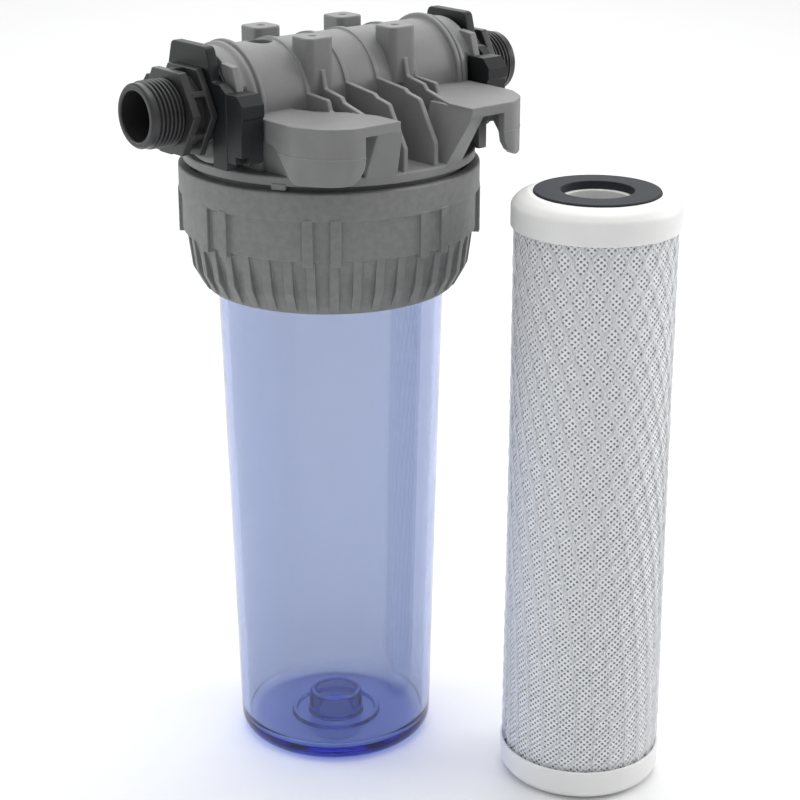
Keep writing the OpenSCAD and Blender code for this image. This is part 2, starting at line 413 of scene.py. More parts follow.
def helix(name: str, section: list[Point], pitch: float, turns: float, centre: Vector, axis: Axis) -> Piece:
    """A thread's ridge: a closed section swept along a right-hand helix.

    Args:
        name: The piece's name.
        section: Points as (radius, place along the axis).
        pitch: Rise in one turn.
        turns: How many turns.
        centre: A point on the axis, in millimetres.
        axis: The axis.

    Returns:
        The closed ridge.
    """
    per_turn = 64
    local = [axis.place(r, along, Vector((0, 0, 0))) for r, along in section]
    piece = chain(name, local)
    editing(Mode.OBJECT)
    with_modifier(
        piece, "SCREW", axis=axis.name, angle=math.tau * turns, screw_offset=pitch * turns * MM,
        steps=round(per_turn * turns), render_steps=round(per_turn * turns), use_normal_calculate=True,
    )
    offset = Vector((0, centre.y, centre.z)) if axis is Axis.X else Vector((centre.x, centre.y, 0))
    piece.data.transform(Matrix.Translation(offset * MM))
    editing(Mode.EDIT)
    bpy.ops.mesh.select_all(action="DESELECT")
    bpy.ops.mesh.select_non_manifold()
    bpy.ops.mesh.fill_holes(sides=0)
    return closed_up(piece)


def smoothed(piece: Piece, angle: float = 32) -> Piece:
    """Shades a finished piece smooth up to an angle, with its flats kept flat."""
    activate(piece)
    bpy.ops.object.shade_smooth_by_angle(angle=math.radians(angle))
    return with_modifier(piece, "WEIGHTED_NORMAL", keep_sharp=True, weight=80)


# ---- materials --------------------------------------------------------------


def srgb(code: str) -> tuple[float, float, float, float]:
    """A hex colour such as "8c8d8c" as linear red, green, blue and alpha 1."""
    channels = [int(code[i : i + 2], 16) / 255 for i in (0, 2, 4)]
    linear = [c / 12.92 if c <= 0.04045 else ((c + 0.055) / 1.055) ** 2.4 for c in channels]
    return (*linear, 1.0)


def add_node(tree: Tree, kind: str, inputs: dict | None = None, **settings: object) -> Node:
    """Adds a shader node with its settings, values and links.

    Args:
        tree: The material's or the world's node tree.
        kind: The node's type.
        inputs: Each input's name or number, with a socket to link or a value to set.
        settings: The node's own properties.

    Returns:
        The node.
    """
    node = tree.nodes.new(kind)
    for key, value in settings.items():
        setattr(node, key, value)
    for key, value in (inputs or {}).items():
        if isinstance(value, bpy.types.NodeSocket):
            tree.links.new(value, node.inputs[key])
        else:
            node.inputs[key].default_value = value
    return node


def empty_material(name: str) -> tuple[Material, Tree]:
    """A material of that name with no nodes yet, and its tree."""
    material = bpy.data.materials.new(name)
    material.use_nodes = True
    material.node_tree.nodes.clear()
    return material, material.node_tree


def per_metre(size: float) -> float:
    """The scale of a pattern that repeats about once in a size given in millimetres."""
    return 1 / (size * MM)


@dataclass(frozen=True)
class Moulded:
    """A moulded or cut solid: body colour, slow mottle, fine grain, and a painted highlight that paints its
    edges lighter.
    """

    name: str
    colour: str
    mottle: str
    # Paler colour painted on the rounded edges: a painted highlight
    edge: str
    roughness: float
    ior: float = 1.5
    mottle_mm: float = 9.0
    mottle_share: float = 0.5
    grain_mm: float = 0.5
    grain_depth_mm: float = 0.03
    # Painted edge highlight: bevel reach, strength, and the turn of the normal over which it fades in
    edge_mm: float = 0.5
    edge_highlight_share: float = 0.6
    edge_highlight_range: tuple[float, float] = (0.995, 0.80)
    gloss_spread: float = 0.06
    subsurface: float = 0.0
    subsurface_mm: float = 2.0

    def build(self) -> Material:
        """The material.

        Returns:
            A node material on Object coordinates.
        """
        material, tree = empty_material(self.name)
        place = add_node(tree, "ShaderNodeTexCoord").outputs["Object"]
        slow = add_node(
            tree, "ShaderNodeTexNoise",
            {"Vector": place, "Scale": per_metre(self.mottle_mm), "Detail": FINE_DETAIL},
        )
        fine = add_node(
            tree, "ShaderNodeTexNoise",
            {"Vector": place, "Scale": per_metre(self.grain_mm), "Detail": FINE_DETAIL},
        )
        mid_low, mid_high = NOISE_MIDDLE
        share = add_node(
            tree, "ShaderNodeMapRange",
            {
                "Value": slow.outputs["Fac"], "From Min": mid_low, "From Max": mid_high,
                "To Max": self.mottle_share,
            },
        )
        body = add_node(
            tree, "ShaderNodeMix",
            {0: share.outputs[0], 6: srgb(self.colour), 7: srgb(self.mottle)}, data_type="RGBA",
        )
        # The bevelled normal rounds the shading; where it turns from the flat normal the edge is painted
        # towards the paler edge colour, a painted highlight standing in for light catching the rounded edges
        round_edge = add_node(tree, "ShaderNodeBevel", {"Radius": self.edge_mm * MM}, samples=6)
        flat = add_node(tree, "ShaderNodeNewGeometry")
        facing = add_node(
            tree, "ShaderNodeVectorMath", {0: round_edge.outputs[0], 1: flat.outputs["Normal"]},
            operation="DOT_PRODUCT",
        )
        painted_highlight_mask = add_node(
            tree, "ShaderNodeMapRange",
            {
                "Value": facing.outputs["Value"], "From Min": self.edge_highlight_range[0],
                "From Max": self.edge_highlight_range[1], "To Max": self.edge_highlight_share,
            },
        )
        skin = add_node(
            tree, "ShaderNodeMix",
            {0: painted_highlight_mask.outputs[0], 6: body.outputs[2], 7: srgb(self.edge)}, data_type="RGBA",
        )
        gloss = add_node(
            tree, "ShaderNodeMapRange",
            {
                "Value": fine.outputs["Fac"], "To Min": self.roughness - self.gloss_spread,
                "To Max": self.roughness + self.gloss_spread,
            },
        )
        grain = add_node(
            tree, "ShaderNodeBump",
            {
                "Height": fine.outputs["Fac"], "Distance": self.grain_depth_mm * MM,
                "Normal": round_edge.outputs[0],
            },
        )
        shader = add_node(
            tree, "ShaderNodeBsdfPrincipled",
            {
                "Base Color": skin.outputs[2], "Roughness": gloss.outputs[0], "IOR": self.ior,
                "Normal": grain.outputs[0], "Subsurface Weight": self.subsurface,
                "Subsurface Radius": (1.0, 1.0, 1.0), "Subsurface Scale": self.subsurface_mm * MM,
            },
        )
        add_node(tree, "ShaderNodeOutputMaterial", {"Surface": shader.outputs[0]})
        return material


# Each finish's third colour is the painted highlight on its rounded edges
# Filled polypropylene from a spark-eroded mould: satin, its edges painted pale as a painted highlight
HEAD_PLASTIC = Moulded(
    "moulded_polypropylene", "7d7e7d", "747574", "a4a6a5", 0.5, grain_mm=0.35, grain_depth_mm=0.012,
)
# The same polymer with a coarser eroded grain for grip: duller and speckled; the grain is drawn
# about twice its real size so that it shows
# Its edges get a stronger painted highlight
NUT_PLASTIC = Moulded(
    "grained_polypropylene", "7c7d7c", "6a6b6a", "a2a4a3", 0.58, mottle_mm=3.0, grain_mm=0.6,
    grain_depth_mm=0.09, edge_highlight_share=0.8,
)
# Glass-filled nylon: charcoal, semi-gloss, with a painted highlight that greys its edges and threads
NYLON = Moulded(
    "glass_filled_nylon", "2a2a2b", "323233", "525254", 0.36, ior=1.5, mottle_mm=6.0, grain_mm=0.4,
    grain_depth_mm=0.012, edge_mm=0.35,
)
# Acetal copolymer: blacker than the nylon and springy, with a dry low sheen
ACETAL = Moulded(
    "acetal_copolymer", "101214", "16181b", "34373c", 0.46, ior=1.42, mottle_mm=8.0, grain_mm=0.4,
    grain_depth_mm=0.01, edge_mm=0.35,
)
# Nitrile rubber from a polished mould: dark, soft sheen
NITRILE = Moulded(
    "nitrile_rubber", "1b1b1c", "212122", "2e2e30", 0.48, ior=1.52, grain_mm=0.3, grain_depth_mm=0.006,
)
# Closed-cell gasket die-cut from sheet: slate, matt, fine pores
GASKET = Moulded(
    "gasket_rubber", "262a30", "2e3238", "3a3f46", 0.7, ior=1.4, mottle_mm=4.0, grain_mm=0.6,
    grain_depth_mm=0.03,
)
# Unfilled polypropylene: white, waxy, light carries a little way into it
CAP_PLASTIC = Moulded(
    "white_polypropylene", "e9e9e8", "e3e3e2", "f2f2f1", 0.42, ior=1.49, mottle_mm=14.0, grain_mm=0.8,
    grain_depth_mm=0.006, edge_mm=0.3, subsurface=0.15,
)
# Carbon sintered to a block: black, open-pored, dusty
CARBON = Moulded(
    "sintered_carbon", "202122", "333435", "3a3b3c", 0.85, mottle_mm=1.5, mottle_share=0.9, grain_mm=0.5,
    grain_depth_mm=0.2,
)


@dataclass(frozen=True)
class ClearStyrene:
    """Clear styrene copolymer from a polished mould: glassy, tinted blue through its depth."""

    name: str = "clear_styrene"
    ior: float = 1.56
    skin: tuple[float, float, float] = (0.68, 0.69, 0.708)
    tint: tuple[float, float, float] = (0.13, 0.35, 0.93)
    density: float = 88.0
    shadow: tuple[float, float, float] = (0.96, 0.962, 0.985)
    wave_mm: float = 22.0
    wave_depth_mm: float = 0.12
    smear_mm: float = 30.0
    smear_roughness: float = 0.06

    def build(self) -> Material:
        """The material.

        Returns:
            A transmitting node material whose colour comes from absorption.
        """
        material, tree = empty_material(self.name)
        place = add_node(tree, "ShaderNodeTexCoord").outputs["Object"]
        wave = add_node(
            tree, "ShaderNodeTexNoise", {"Vector": place, "Scale": per_metre(self.wave_mm), "Detail": 1.0},
        )
        flow = add_node(
            tree, "ShaderNodeBump",
            {"Height": wave.outputs["Fac"], "Distance": self.wave_depth_mm * MM},
        )
        smear = add_node(
            tree, "ShaderNodeTexNoise", {"Vector": place, "Scale": per_metre(self.smear_mm), "Detail": 2.0},
        )
        gloss = add_node(
            tree, "ShaderNodeMapRange",
            {"Value": smear.outputs["Fac"], "To Min": 0.0, "To Max": self.smear_roughness},
        )
        shader = add_node(
            tree, "ShaderNodeBsdfPrincipled",
            {
                "Base Color": (*self.skin, 1), "Roughness": gloss.outputs[0], "IOR": self.ior,
                "Transmission Weight": 1.0, "Normal": flow.outputs[0],
            },
        )
        ray = add_node(tree, "ShaderNodeLightPath")
        lit = add_node(tree, "ShaderNodeBsdfTransparent", {"Color": (*self.shadow, 1)})
        wall = add_node(
            tree, "ShaderNodeMixShader",
            {0: ray.outputs["Is Shadow Ray"], 1: shader.outputs[0], 2: lit.outputs[0]},
        )
        depth = add_node(
            tree, "ShaderNodeVolumeAbsorption", {"Color": (*self.tint, 1), "Density": self.density},
        )
        add_node(tree, "ShaderNodeOutputMaterial", {"Surface": wall.outputs[0], "Volume": depth.outputs[0]})
        return material


@dataclass(frozen=True)
class PerforatedWrap:
    """Spun-bonded polypropylene with needle holes in a centred lattice: white, matt, dotted grey."""

    name: str = "spun_bonded_wrap"
    colour: str = "f4f5f7"
    fibre: str = "e6e8eb"
    hole: str = "7b7d84"
    around: int = 78
    rise_mm: float = 2.4
    hole_mm: float = 0.95
    ragged_mm: float = 0.5
    blur_mm: float = 0.18
    fibre_mm: float = 0.9
    felt_mm: float = 3.0
    dent_mm: float = 0.3
    nap_mm: float = 0.05

    def build(self, centre: Vector, radius: float) -> Material:
        """The material.

        Args:
            centre: A point on the wrap's axis, in millimetres.
            radius: The wrap's outer radius, in millimetres.

        Returns:
            A node material whose dots follow the cylinder.
        """
        material, tree = empty_material(self.name)
        place = add_node(tree, "ShaderNodeTexCoord").outputs["Object"]
        spot = add_node(
            tree, "ShaderNodeVectorMath", {0: place, 1: (centre.x * MM, centre.y * MM, 0)},
            operation="SUBTRACT",
        )
        xyz = add_node(tree, "ShaderNodeSeparateXYZ", {0: spot.outputs[0]})
        angle = add_node(
            tree, "ShaderNodeMath", {0: xyz.outputs["Y"], 1: xyz.outputs["X"]}, operation="ARCTAN2",
        )
        u = add_node(
            tree, "ShaderNodeMath", {0: angle.outputs[0], 1: self.around / math.tau},
            operation="MULTIPLY",
        )
        v = add_node(
            tree, "ShaderNodeMath", {0: xyz.outputs["Z"], 1: per_metre(self.rise_mm)},
            operation="MULTIPLY",
        )
        total = add_node(tree, "ShaderNodeMath", {0: u.outputs[0], 1: v.outputs[0]}, operation="ADD")
        gap = add_node(tree, "ShaderNodeMath", {0: u.outputs[0], 1: v.outputs[0]}, operation="SUBTRACT")
        lattice = add_node(tree, "ShaderNodeCombineXYZ", {"X": total.outputs[0], "Y": gap.outputs[0]})
        cell = add_node(tree, "ShaderNodeVectorMath", {0: lattice.outputs[0]}, operation="FRACTION")
        near = add_node(
            tree, "ShaderNodeVectorMath", {0: cell.outputs[0], 1: (0.5, 0.5, 0)}, operation="SUBTRACT",
        )
        st = add_node(tree, "ShaderNodeSeparateXYZ", {0: near.outputs[0]})
        across = add_node(
            tree, "ShaderNodeMath", {0: st.outputs["X"], 1: st.outputs["Y"]}, operation="ADD",
        )
        up = add_node(
            tree, "ShaderNodeMath", {0: st.outputs["X"], 1: st.outputs["Y"]}, operation="SUBTRACT",
        )
        pitch = math.tau * radius / self.around
        across_mm = add_node(
            tree, "ShaderNodeMath", {0: across.outputs[0], 1: pitch / 2}, operation="MULTIPLY",
        )
        up_mm = add_node(
            tree, "ShaderNodeMath", {0: up.outputs[0], 1: self.rise_mm / 2}, operation="MULTIPLY",
        )
        offset = add_node(tree, "ShaderNodeCombineXYZ", {"X": across_mm.outputs[0], "Y": up_mm.outputs[0]})
        away = add_node(tree, "ShaderNodeVectorMath", {0: offset.outputs[0]}, operation="LENGTH")
        fibres = add_node(
            tree, "ShaderNodeTexNoise",
            {"Vector": place, "Scale": per_metre(self.fibre_mm), "Detail": FINE_DETAIL},
        )
        ragged = add_node(
            tree, "ShaderNodeMath", {0: fibres.outputs["Fac"], 1: self.ragged_mm, 2: away.outputs["Value"]},
            operation="MULTIPLY_ADD",
        )
        edge = (self.hole_mm + self.ragged_mm) / 2
        dot = add_node(
            tree, "ShaderNodeMapRange",
            {
                "Value": ragged.outputs[0], "From Min": edge - self.blur_mm,
                "From Max": edge + self.blur_mm, "To Min": 1.0, "To Max": 0.0,
            },
            interpolation_type="SMOOTHSTEP",
        )
        clumps = add_node(
            tree, "ShaderNodeTexNoise", {"Vector": place, "Scale": per_metre(self.felt_mm), "Detail": 4.0},
        )
        felt = add_node(
            tree, "ShaderNodeMix",
            {0: clumps.outputs["Fac"], 6: srgb(self.colour), 7: srgb(self.fibre)}, data_type="RGBA",
        )
        skin = add_node(
            tree, "ShaderNodeMix",
            {0: dot.outputs[0], 6: felt.outputs[2], 7: srgb(self.hole)}, data_type="RGBA",
        )
        dent = add_node(
            tree, "ShaderNodeBump", {"Height": dot.outputs[0], "Distance": self.dent_mm * MM}, invert=True,
        )
        nap = add_node(
            tree, "ShaderNodeBump",
            {"Height": fibres.outputs["Fac"], "Distance": self.nap_mm * MM, "Normal": dent.outputs[0]},
        )
        shader = add_node(
            tree, "ShaderNodeBsdfPrincipled",
            {"Base Color": skin.outputs[2], "Roughness": 0.8, "Normal": nap.outputs[0], "Sheen Weight": 0.2},
        )
        add_node(tree, "ShaderNodeOutputMaterial", {"Surface": shader.outputs[0]})
        return material


@dataclass(frozen=True)
class ExtrudedNet:
    """Extruded polyethylene netting: milky, half clear, so what lies behind it shows softly."""

    name: str = "extruded_net"
    colour: str = "f4f5f7"
    drawn: str = "f0f1f4"
    opacity: float = 0.32
    drawn_mm: float = 1.6
    ripple_mm: float = 0.08

    def build(self) -> Material:
        """The material.

        Returns:
            A half-clear node material.
        """
        material, tree = empty_material(self.name)
        place = add_node(tree, "ShaderNodeTexCoord").outputs["Object"]
        drawn = add_node(
            tree, "ShaderNodeTexNoise", {"Vector": place, "Scale": per_metre(self.drawn_mm), "Detail": 2.0},
        )
        skin = add_node(
            tree, "ShaderNodeMix",
            {0: drawn.outputs["Fac"], 6: srgb(self.colour), 7: srgb(self.drawn)}, data_type="RGBA",
        )
        ripple = add_node(
            tree, "ShaderNodeBump",
            {"Height": drawn.outputs["Fac"], "Distance": self.ripple_mm * MM},
        )
        shader = add_node(
            tree, "ShaderNodeBsdfPrincipled",
            {
                "Base Color": skin.outputs[2], "Roughness": 0.3, "IOR": 1.51, "Alpha": self.opacity,
                "Normal": ripple.outputs[0],
            },
        )
        add_node(tree, "ShaderNodeOutputMaterial", {"Surface": shader.outputs[0]})
        return material


@dataclass(frozen=True)
class StudioFloor:
    """A pale painted table top, so smooth that only its shadows show it."""

    name: str = "painted_floor"
    colour: str = "f4f4f4"
    cloud: str = "f1f1f2"
    cloud_mm: float = 300.0

    def build(self) -> Material:
        """The material.

        Returns:
            A pale matt node material.
        """
        material, tree = empty_material(self.name)
        place = add_node(tree, "ShaderNodeTexCoord").outputs["Object"]
        cloud = add_node(
            tree, "ShaderNodeTexNoise", {"Vector": place, "Scale": per_metre(self.cloud_mm), "Detail": 2.0},
        )
        skin = add_node(
            tree, "ShaderNodeMix",
            {0: cloud.outputs["Fac"], 6: srgb(self.colour), 7: srgb(self.cloud)}, data_type="RGBA",
        )
        shader = add_node(
            tree, "ShaderNodeBsdfPrincipled", {"Base Color": skin.outputs[2], "Roughness": 0.75},
        )
        add_node(tree, "ShaderNodeOutputMaterial", {"Surface": shader.outputs[0]})
        return material


def dress(piece: Piece, material: Material) -> Piece:
    """Gives a piece one material, in place of any it has."""
    piece.data.materials.clear()
    piece.data.materials.append(material)
    return piece


def place(piece: Piece, body: str, slot: str, *nodes: str) -> Piece:
    """Sets a finished piece on its body, in the place of CAD nodes, and reports it.

    Args:
        piece: The piece.
        body: The CAD body that it rides on.
        slot: Not used.
        nodes: The CAD nodes that it stands for.

    Returns:
        The piece.
    """
    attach(piece, body)
    if nodes:
        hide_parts(*nodes)
    LOG.info("%s rides on %s with %d faces", piece.name, body, len(piece.data.polygons))
    return piece


# ---- head -------------------------------------------------------------------


@dataclass
class PortHead:
    """The grey head: bell over the bowl, port barrel, fins, four wings and four fixing bosses."""

    material: Material
    barrel_r: float = 22.5
    rib_t: float = 2.2
    rib_proud: float = 0.8
    rib_places: tuple[float, ...] = (7.8, 27.5)
    rim_r: float = 60.0
    rim_gap: float = 1.9
    rim_t: float = 3.9
    skirt_r: float = 56.1
    cavity_r: float = 46.5
    cavity_h: float = 20.0
    thread_pitch: float = 5.0
    thread_turns: float = 3.2
    pipe_r: float = 10.0
    pipe_wall: float = 6.0
    wall_y: float = 21.4
    wall_x: float = 50.0
    fin_t: float = 2.2
    wing_drop: float = 26.0
    wing_t: float = 4.0
    scoop_h: float = 22.0
    seam_proud: float = 0.14
    shell_t: float = 3.2
    front_y: float = -67.5
    side_x: float = 56.0
    slot_x: float = 35.0
    boss_x: float = 21.0
    boss_y: float = 17.0
    boss_half: float = 5.5
    boss_flare: float = 1.16
    pilot_r: float = 1.5
    port_r: float = 8.0
    duct_r: float = 7.0
    drop_x: float = -31.0
    socket_r: float = 12.5
    socket_depth: float = 22.0
    stop_turns: tuple[float, ...] = (-57.0, 123.0)
    origin: Vector = field(default_factory=lambda: Vector((0, 0, 0)))

    def __post_init__(self) -> None:
        """Reads the head's places from the frame."""
        nipple_low, nipple_high = box_mm("outlet_nipple")
        self.axis_z = (nipple_low.z + nipple_high.z) / 2
        self.neck_x = box_mm("head_body")[1].x
        self.top_z = box_mm("head_body")[1].z
        self.bowl_z = box_mm("bowl")[1].z
        self.nut_z = box_mm("ring_nut")[1].z
        self.rim_z = self.nut_z + self.rim_gap
        self.floor_z = self.rim_z + self.rim_t
        self.wing_z = self.top_z - self.wing_drop
        self.port = Vector((0, 0, self.axis_z))

    def bell(self) -> Piece:
        """The bell that closes the bowl: floor, rim and the skirt inside the nut, with its thread.

        Returns:
            The closed solid.
        """
        low = self.bowl_z + 0.3
        cavity = self.bowl_z + self.cavity_h
        bell = turned("head", rounded([
            (0, cavity, 0), (self.cavity_r, cavity, 2.5), (self.cavity_r, low, 0.4), (self.skirt_r, low, 0.6),
            (self.skirt_r, self.rim_z, 0.8), (self.rim_r, self.rim_z, 0.5), (self.rim_r, self.floor_z, 0.9),
            (0, self.floor_z, 0),
        ]), Axis.Z, self.origin, BIG_ROUND)
        ridge = helix("skirt_thread", [
            (self.skirt_r - 0.8, low + 1.2), (self.skirt_r + 1.2, low + 2.3),
            (self.skirt_r + 1.2, low + 2.9), (self.skirt_r - 0.8, low + 4.0),
        ], self.thread_pitch, self.thread_turns, self.origin, Axis.Z)
        pipe_r, pipe_out = self.pipe_r, self.pipe_r + self.pipe_wall
        standpipe = turned("standpipe", rounded([
            (pipe_r, cavity - 8, 0.8), (pipe_out, cavity - 8, 0.8), (pipe_out, cavity + 1, 0),
            (pipe_r, cavity + 1, 0),
        ]), Axis.Z, self.origin, 64)
        return combined(combined(bell, ridge), standpipe)

    def barrel(self) -> Piece:
        """The barrel along the ports, with its ribs, double collars, necks and end flanges.

        Returns:
            The closed solid.
        """
        r, crest = self.barrel_r, self.barrel_r + self.rib_proud
        half: list[Corner] = []
        for x in self.rib_places:
            low, high = x - self.rib_t / 2, x + self.rib_t / 2
            half += [(r, low, 0.5), (crest, low, 0.5), (crest, high, 0.5), (r, high, 0.9)]
        neck = self.neck_x
        half += [
            (r, neck - 12.2, 0.6), (r + 2.2, neck - 12, 0.7), (r + 2.2, neck - 10.2, 0.6),
            (r + 0.8, neck - 9.8, 0.3), (r + 0.8, neck - 9.2, 0.3), (r + 1.7, neck - 8.8, 0.6),
            (r + 1.5, neck - 7.4, 1.5), (r + 0.3, neck - 5.6, 2), (r, neck, 0.6),
        ]
        outline = [(0, -neck, 0), *[(a, -b, c) for a, b, c in reversed(half)], *half, (0, neck, 0)]
        barrel = turned("barrel", rounded(outline, steps=3), Axis.X, self.port, PORT_ROUND)
        wall = slab(
            "barrel_wall", (-self.wall_x, -self.wall_y), (self.wall_x, self.wall_y), Plane.FLAT,
            self.floor_z - 1, self.axis_z + 3, 1.5,
        )
        combined(barrel, wall)
        lip = slab(
            "lip_slot", (20.4, self.axis_z - 24), (34, self.axis_z + 10.5), Plane.ACROSS,
            neck - 5.4, neck - 2.6, 0.8,
        )
        return combined(barrel, mirrored(lip), Joining.CUT)

    def fins(self) -> Piece:
        """The thin fins that brace the barrel: long ones at the middle, shorter ones beside them.

        Returns:
            All twelve, as one piece of separate solids.
        """
        foot, root = self.floor_z - 1, self.axis_z + 6
        long_fin = [
            (-14, foot, 0), (-58.4, foot, 0), (-58.4, foot + 10, 0.8), (-48.6, root - 4.6, 2),
            (-41.4, root - 3.1, 1), (-39.6, root - 1.9, 1), (-24, root, 1), (-14, root, 0),
        ]
        boss_fin = [
            (-14, foot, 0), (-52, foot, 0), (-52, self.wing_z - 1, 0), (-47, self.wing_z + 0.5, 1),
            (-37.5, root - 4.2, 1), (-35.6, root - 2.2, 1), (-25.6, root - 0.4, 1),
            (-23.9, root + 6.5, 0.6), (-20, root + 7.5, 0), (-14, root + 6, 0),
        ]
        side_fin = [
            (-14, foot, 0), (-44, foot, 0), (-44, self.wing_z - 1, 0), (-37, self.wing_z + 0.4, 1),
            (-35.4, root - 2.6, 1), (-22, root - 1.6, 1), (-14, root, 0),
        ]
        near_rib, far_rib = self.rib_places
        places = [(near_rib, long_fin), (self.boss_x, boss_fin), (far_rib, side_fin)]
        made = []
        for i, (x, outline) in enumerate(places):
            start, end = x - self.fin_t / 2, x + self.fin_t / 2
            fin = pulled(f"fin_{i}", rounded(outline, steps=3), Plane.ACROSS, start, end)
            made.append(softened(fin, 0.55, 3))
        return mirrored(joined(made))

    def wing_edge(self, inset: float, start_x: float) -> list[Corner]:
        """The wing's outer edge from its inner end round to the port side.

        Args:
            inset: How far inside the real edge.
            start_x: Where it starts, along the ports.

        Returns:
            The corners of that edge.
        """
        front, side = self.front_y + inset, self.side_x - inset
        return [
            (start_x, front, 0.4), (41 - inset / 2, front, 10), (50 - inset / 2, -61.5 + inset, 16),
            (side, -50 + inset, 12),
        ]

    def wings(self) -> Piece:
        """The four wings: flat top plate, rounded scoop hanging from its edge, and web.

        Returns:
            All four, as one piece.
        """
        top, under, low = self.wing_z, self.wing_z - self.wing_t, self.wing_z - self.scoop_h
        plate = pulled("wing", rounded([
            *self.wing_edge(0, 18), (self.side_x, -24, 2), (54, -14, 1), (35, -12, 0), (35, -24, 3),
            (32, -32, 4), (22, -43, 4), (18, -54, 3),
        ]), Plane.FLAT, under, top)
        softened(plate, 0.6, 3)
        scoop = pulled("scoop", rounded([
            *self.wing_edge(0, self.slot_x), (self.side_x, -24, 1), (self.slot_x, -24, 1),
        ]), Plane.FLAT, low, top - 0.1)
        softened(scoop, 4.5, 5, 80)
        proud = self.seam_proud
        seam = pulled("seam", rounded([
            *self.wing_edge(-proud, self.slot_x - proud), (self.side_x + proud, -26, 1),
            (self.slot_x - proud, -26, 1),
        ]), Plane.FLAT, top - 11.8, top - 11.35)
        combined(scoop, seam)
        pocket = pulled("pocket", rounded([
            *self.wing_edge(self.shell_t, self.slot_x - 6), (self.side_x - self.shell_t, -20, 0),
            (self.slot_x - 6, -20, 0),
        ]), Plane.FLAT, low - 5, under + 0.5)
        combined(scoop, pocket, Joining.CUT)
        swept = slab(
            "swept_front", (self.slot_x, low), (self.side_x + 20, top + 20), Plane.ALONG, -80, -20, 10,
        )
        combined(scoop, swept, Joining.COMMON)
        side = pulled("swept_side", rounded([
            (-80, low - 1, 0), (-50, low - 1, 9), (-38, low + 13, 8), (-15, low + 14, 0),
            (-15, top + 5, 0), (-80, top + 5, 0),
        ], steps=6), Plane.ACROSS, self.slot_x - 9, 70)
        combined(scoop, side, Joining.COMMON)
        web = slab("web", (44, -43), (48, -18), Plane.FLAT, self.floor_z - 1, under + 1)
        wing = combined(combined(plate, scoop), web)
        return mirrored(combined(wing, self.pilaster()))

    def pilaster(self) -> Piece:
        """The leaning post under the wing's inner end, flush with the rim at its foot.

        Returns:
            The closed solid.
        """
        top, foot = self.wing_z - 0.8, self.rim_z + 0.4
        front = pulled("pilaster", rounded([
            (18.3, top, 0.4), (27.4, top, 0.4), (24.4, foot, 0.4), (11.6, foot, 0.4),
        ]), Plane.ALONG, -75, -42)
        lean = turned("lean", rounded([
            (0, foot - 1, 0), (self.rim_r - 0.05, foot - 1, 0), (self.rim_r - 0.05, self.floor_z - 0.5, 3),
            (72.5, top + 1, 0), (0, top + 1, 0),
        ]), Axis.Z, self.origin, BIG_ROUND)
        combined(front, lean, Joining.COMMON)
        limit = slab("limit", (0, self.front_y + 0.2), (40, -30), Plane.FLAT, foot - 5, top + 5)
        return softened(combined(front, limit, Joining.COMMON), 0.4, 2, 50)

    def bosses(self) -> Piece:
        """The four fixing bosses, a little wider at the top.

        Returns:
            All four, as one piece of separate solids.
        """
        half, flare = self.boss_half, self.boss_flare
        boss = slab(
            "boss", (self.boss_x - half, -self.boss_y - half), (self.boss_x + half, -self.boss_y + half),
            Plane.FLAT, self.axis_z + 2, self.top_z, 2.6,
        )
        top = self.top_z * MM - MERGE
        for corner in boss.data.vertices:
            corner.select = corner.co.z > top
        activate(boss)
        bpy.ops.object.mode_set(mode="EDIT")
        middle = Vector((self.boss_x, -self.boss_y, self.top_z)) * MM
        bpy.ops.transform.resize(value=(flare, flare, 1), center_override=middle)
        editing(Mode.OBJECT)
        return mirrored(softened(boss, 0.7, 3, 50))

    def teeth(self) -> Piece:
        """Wedges on the neck's end flange that a clip's plate slides over.

        Returns:
            All four, as one piece of separate solids.
        """
        z = self.axis_z
        tooth = pulled("tooth", rounded([
            (-13, z + 6, 0), (-22.8, z + 6.4, 0.4), (-23.5, z + 8.2, 0.5), (-20.4, z + 17.8, 0.6),
            (-13, z + 18.6, 0),
        ]), Plane.ACROSS, self.neck_x - 2.3, self.neck_x + 0.9)
        return mirrored(softened(tooth, 0.35))

    def stops(self) -> Piece:
        """Small stops under the rim that the nut's top comes up to.

        Returns:
            Two of them, as one piece of separate solids.
        """
        stop = slab(
            "stop", (-3, -self.rim_r - 0.4), (3, -self.rim_r + 3), Plane.FLAT,
            self.nut_z + 0.35, self.rim_z + 1, 0.6,
        )
        return ringed(softened(stop, 0.25), list(self.stop_turns), self.origin)

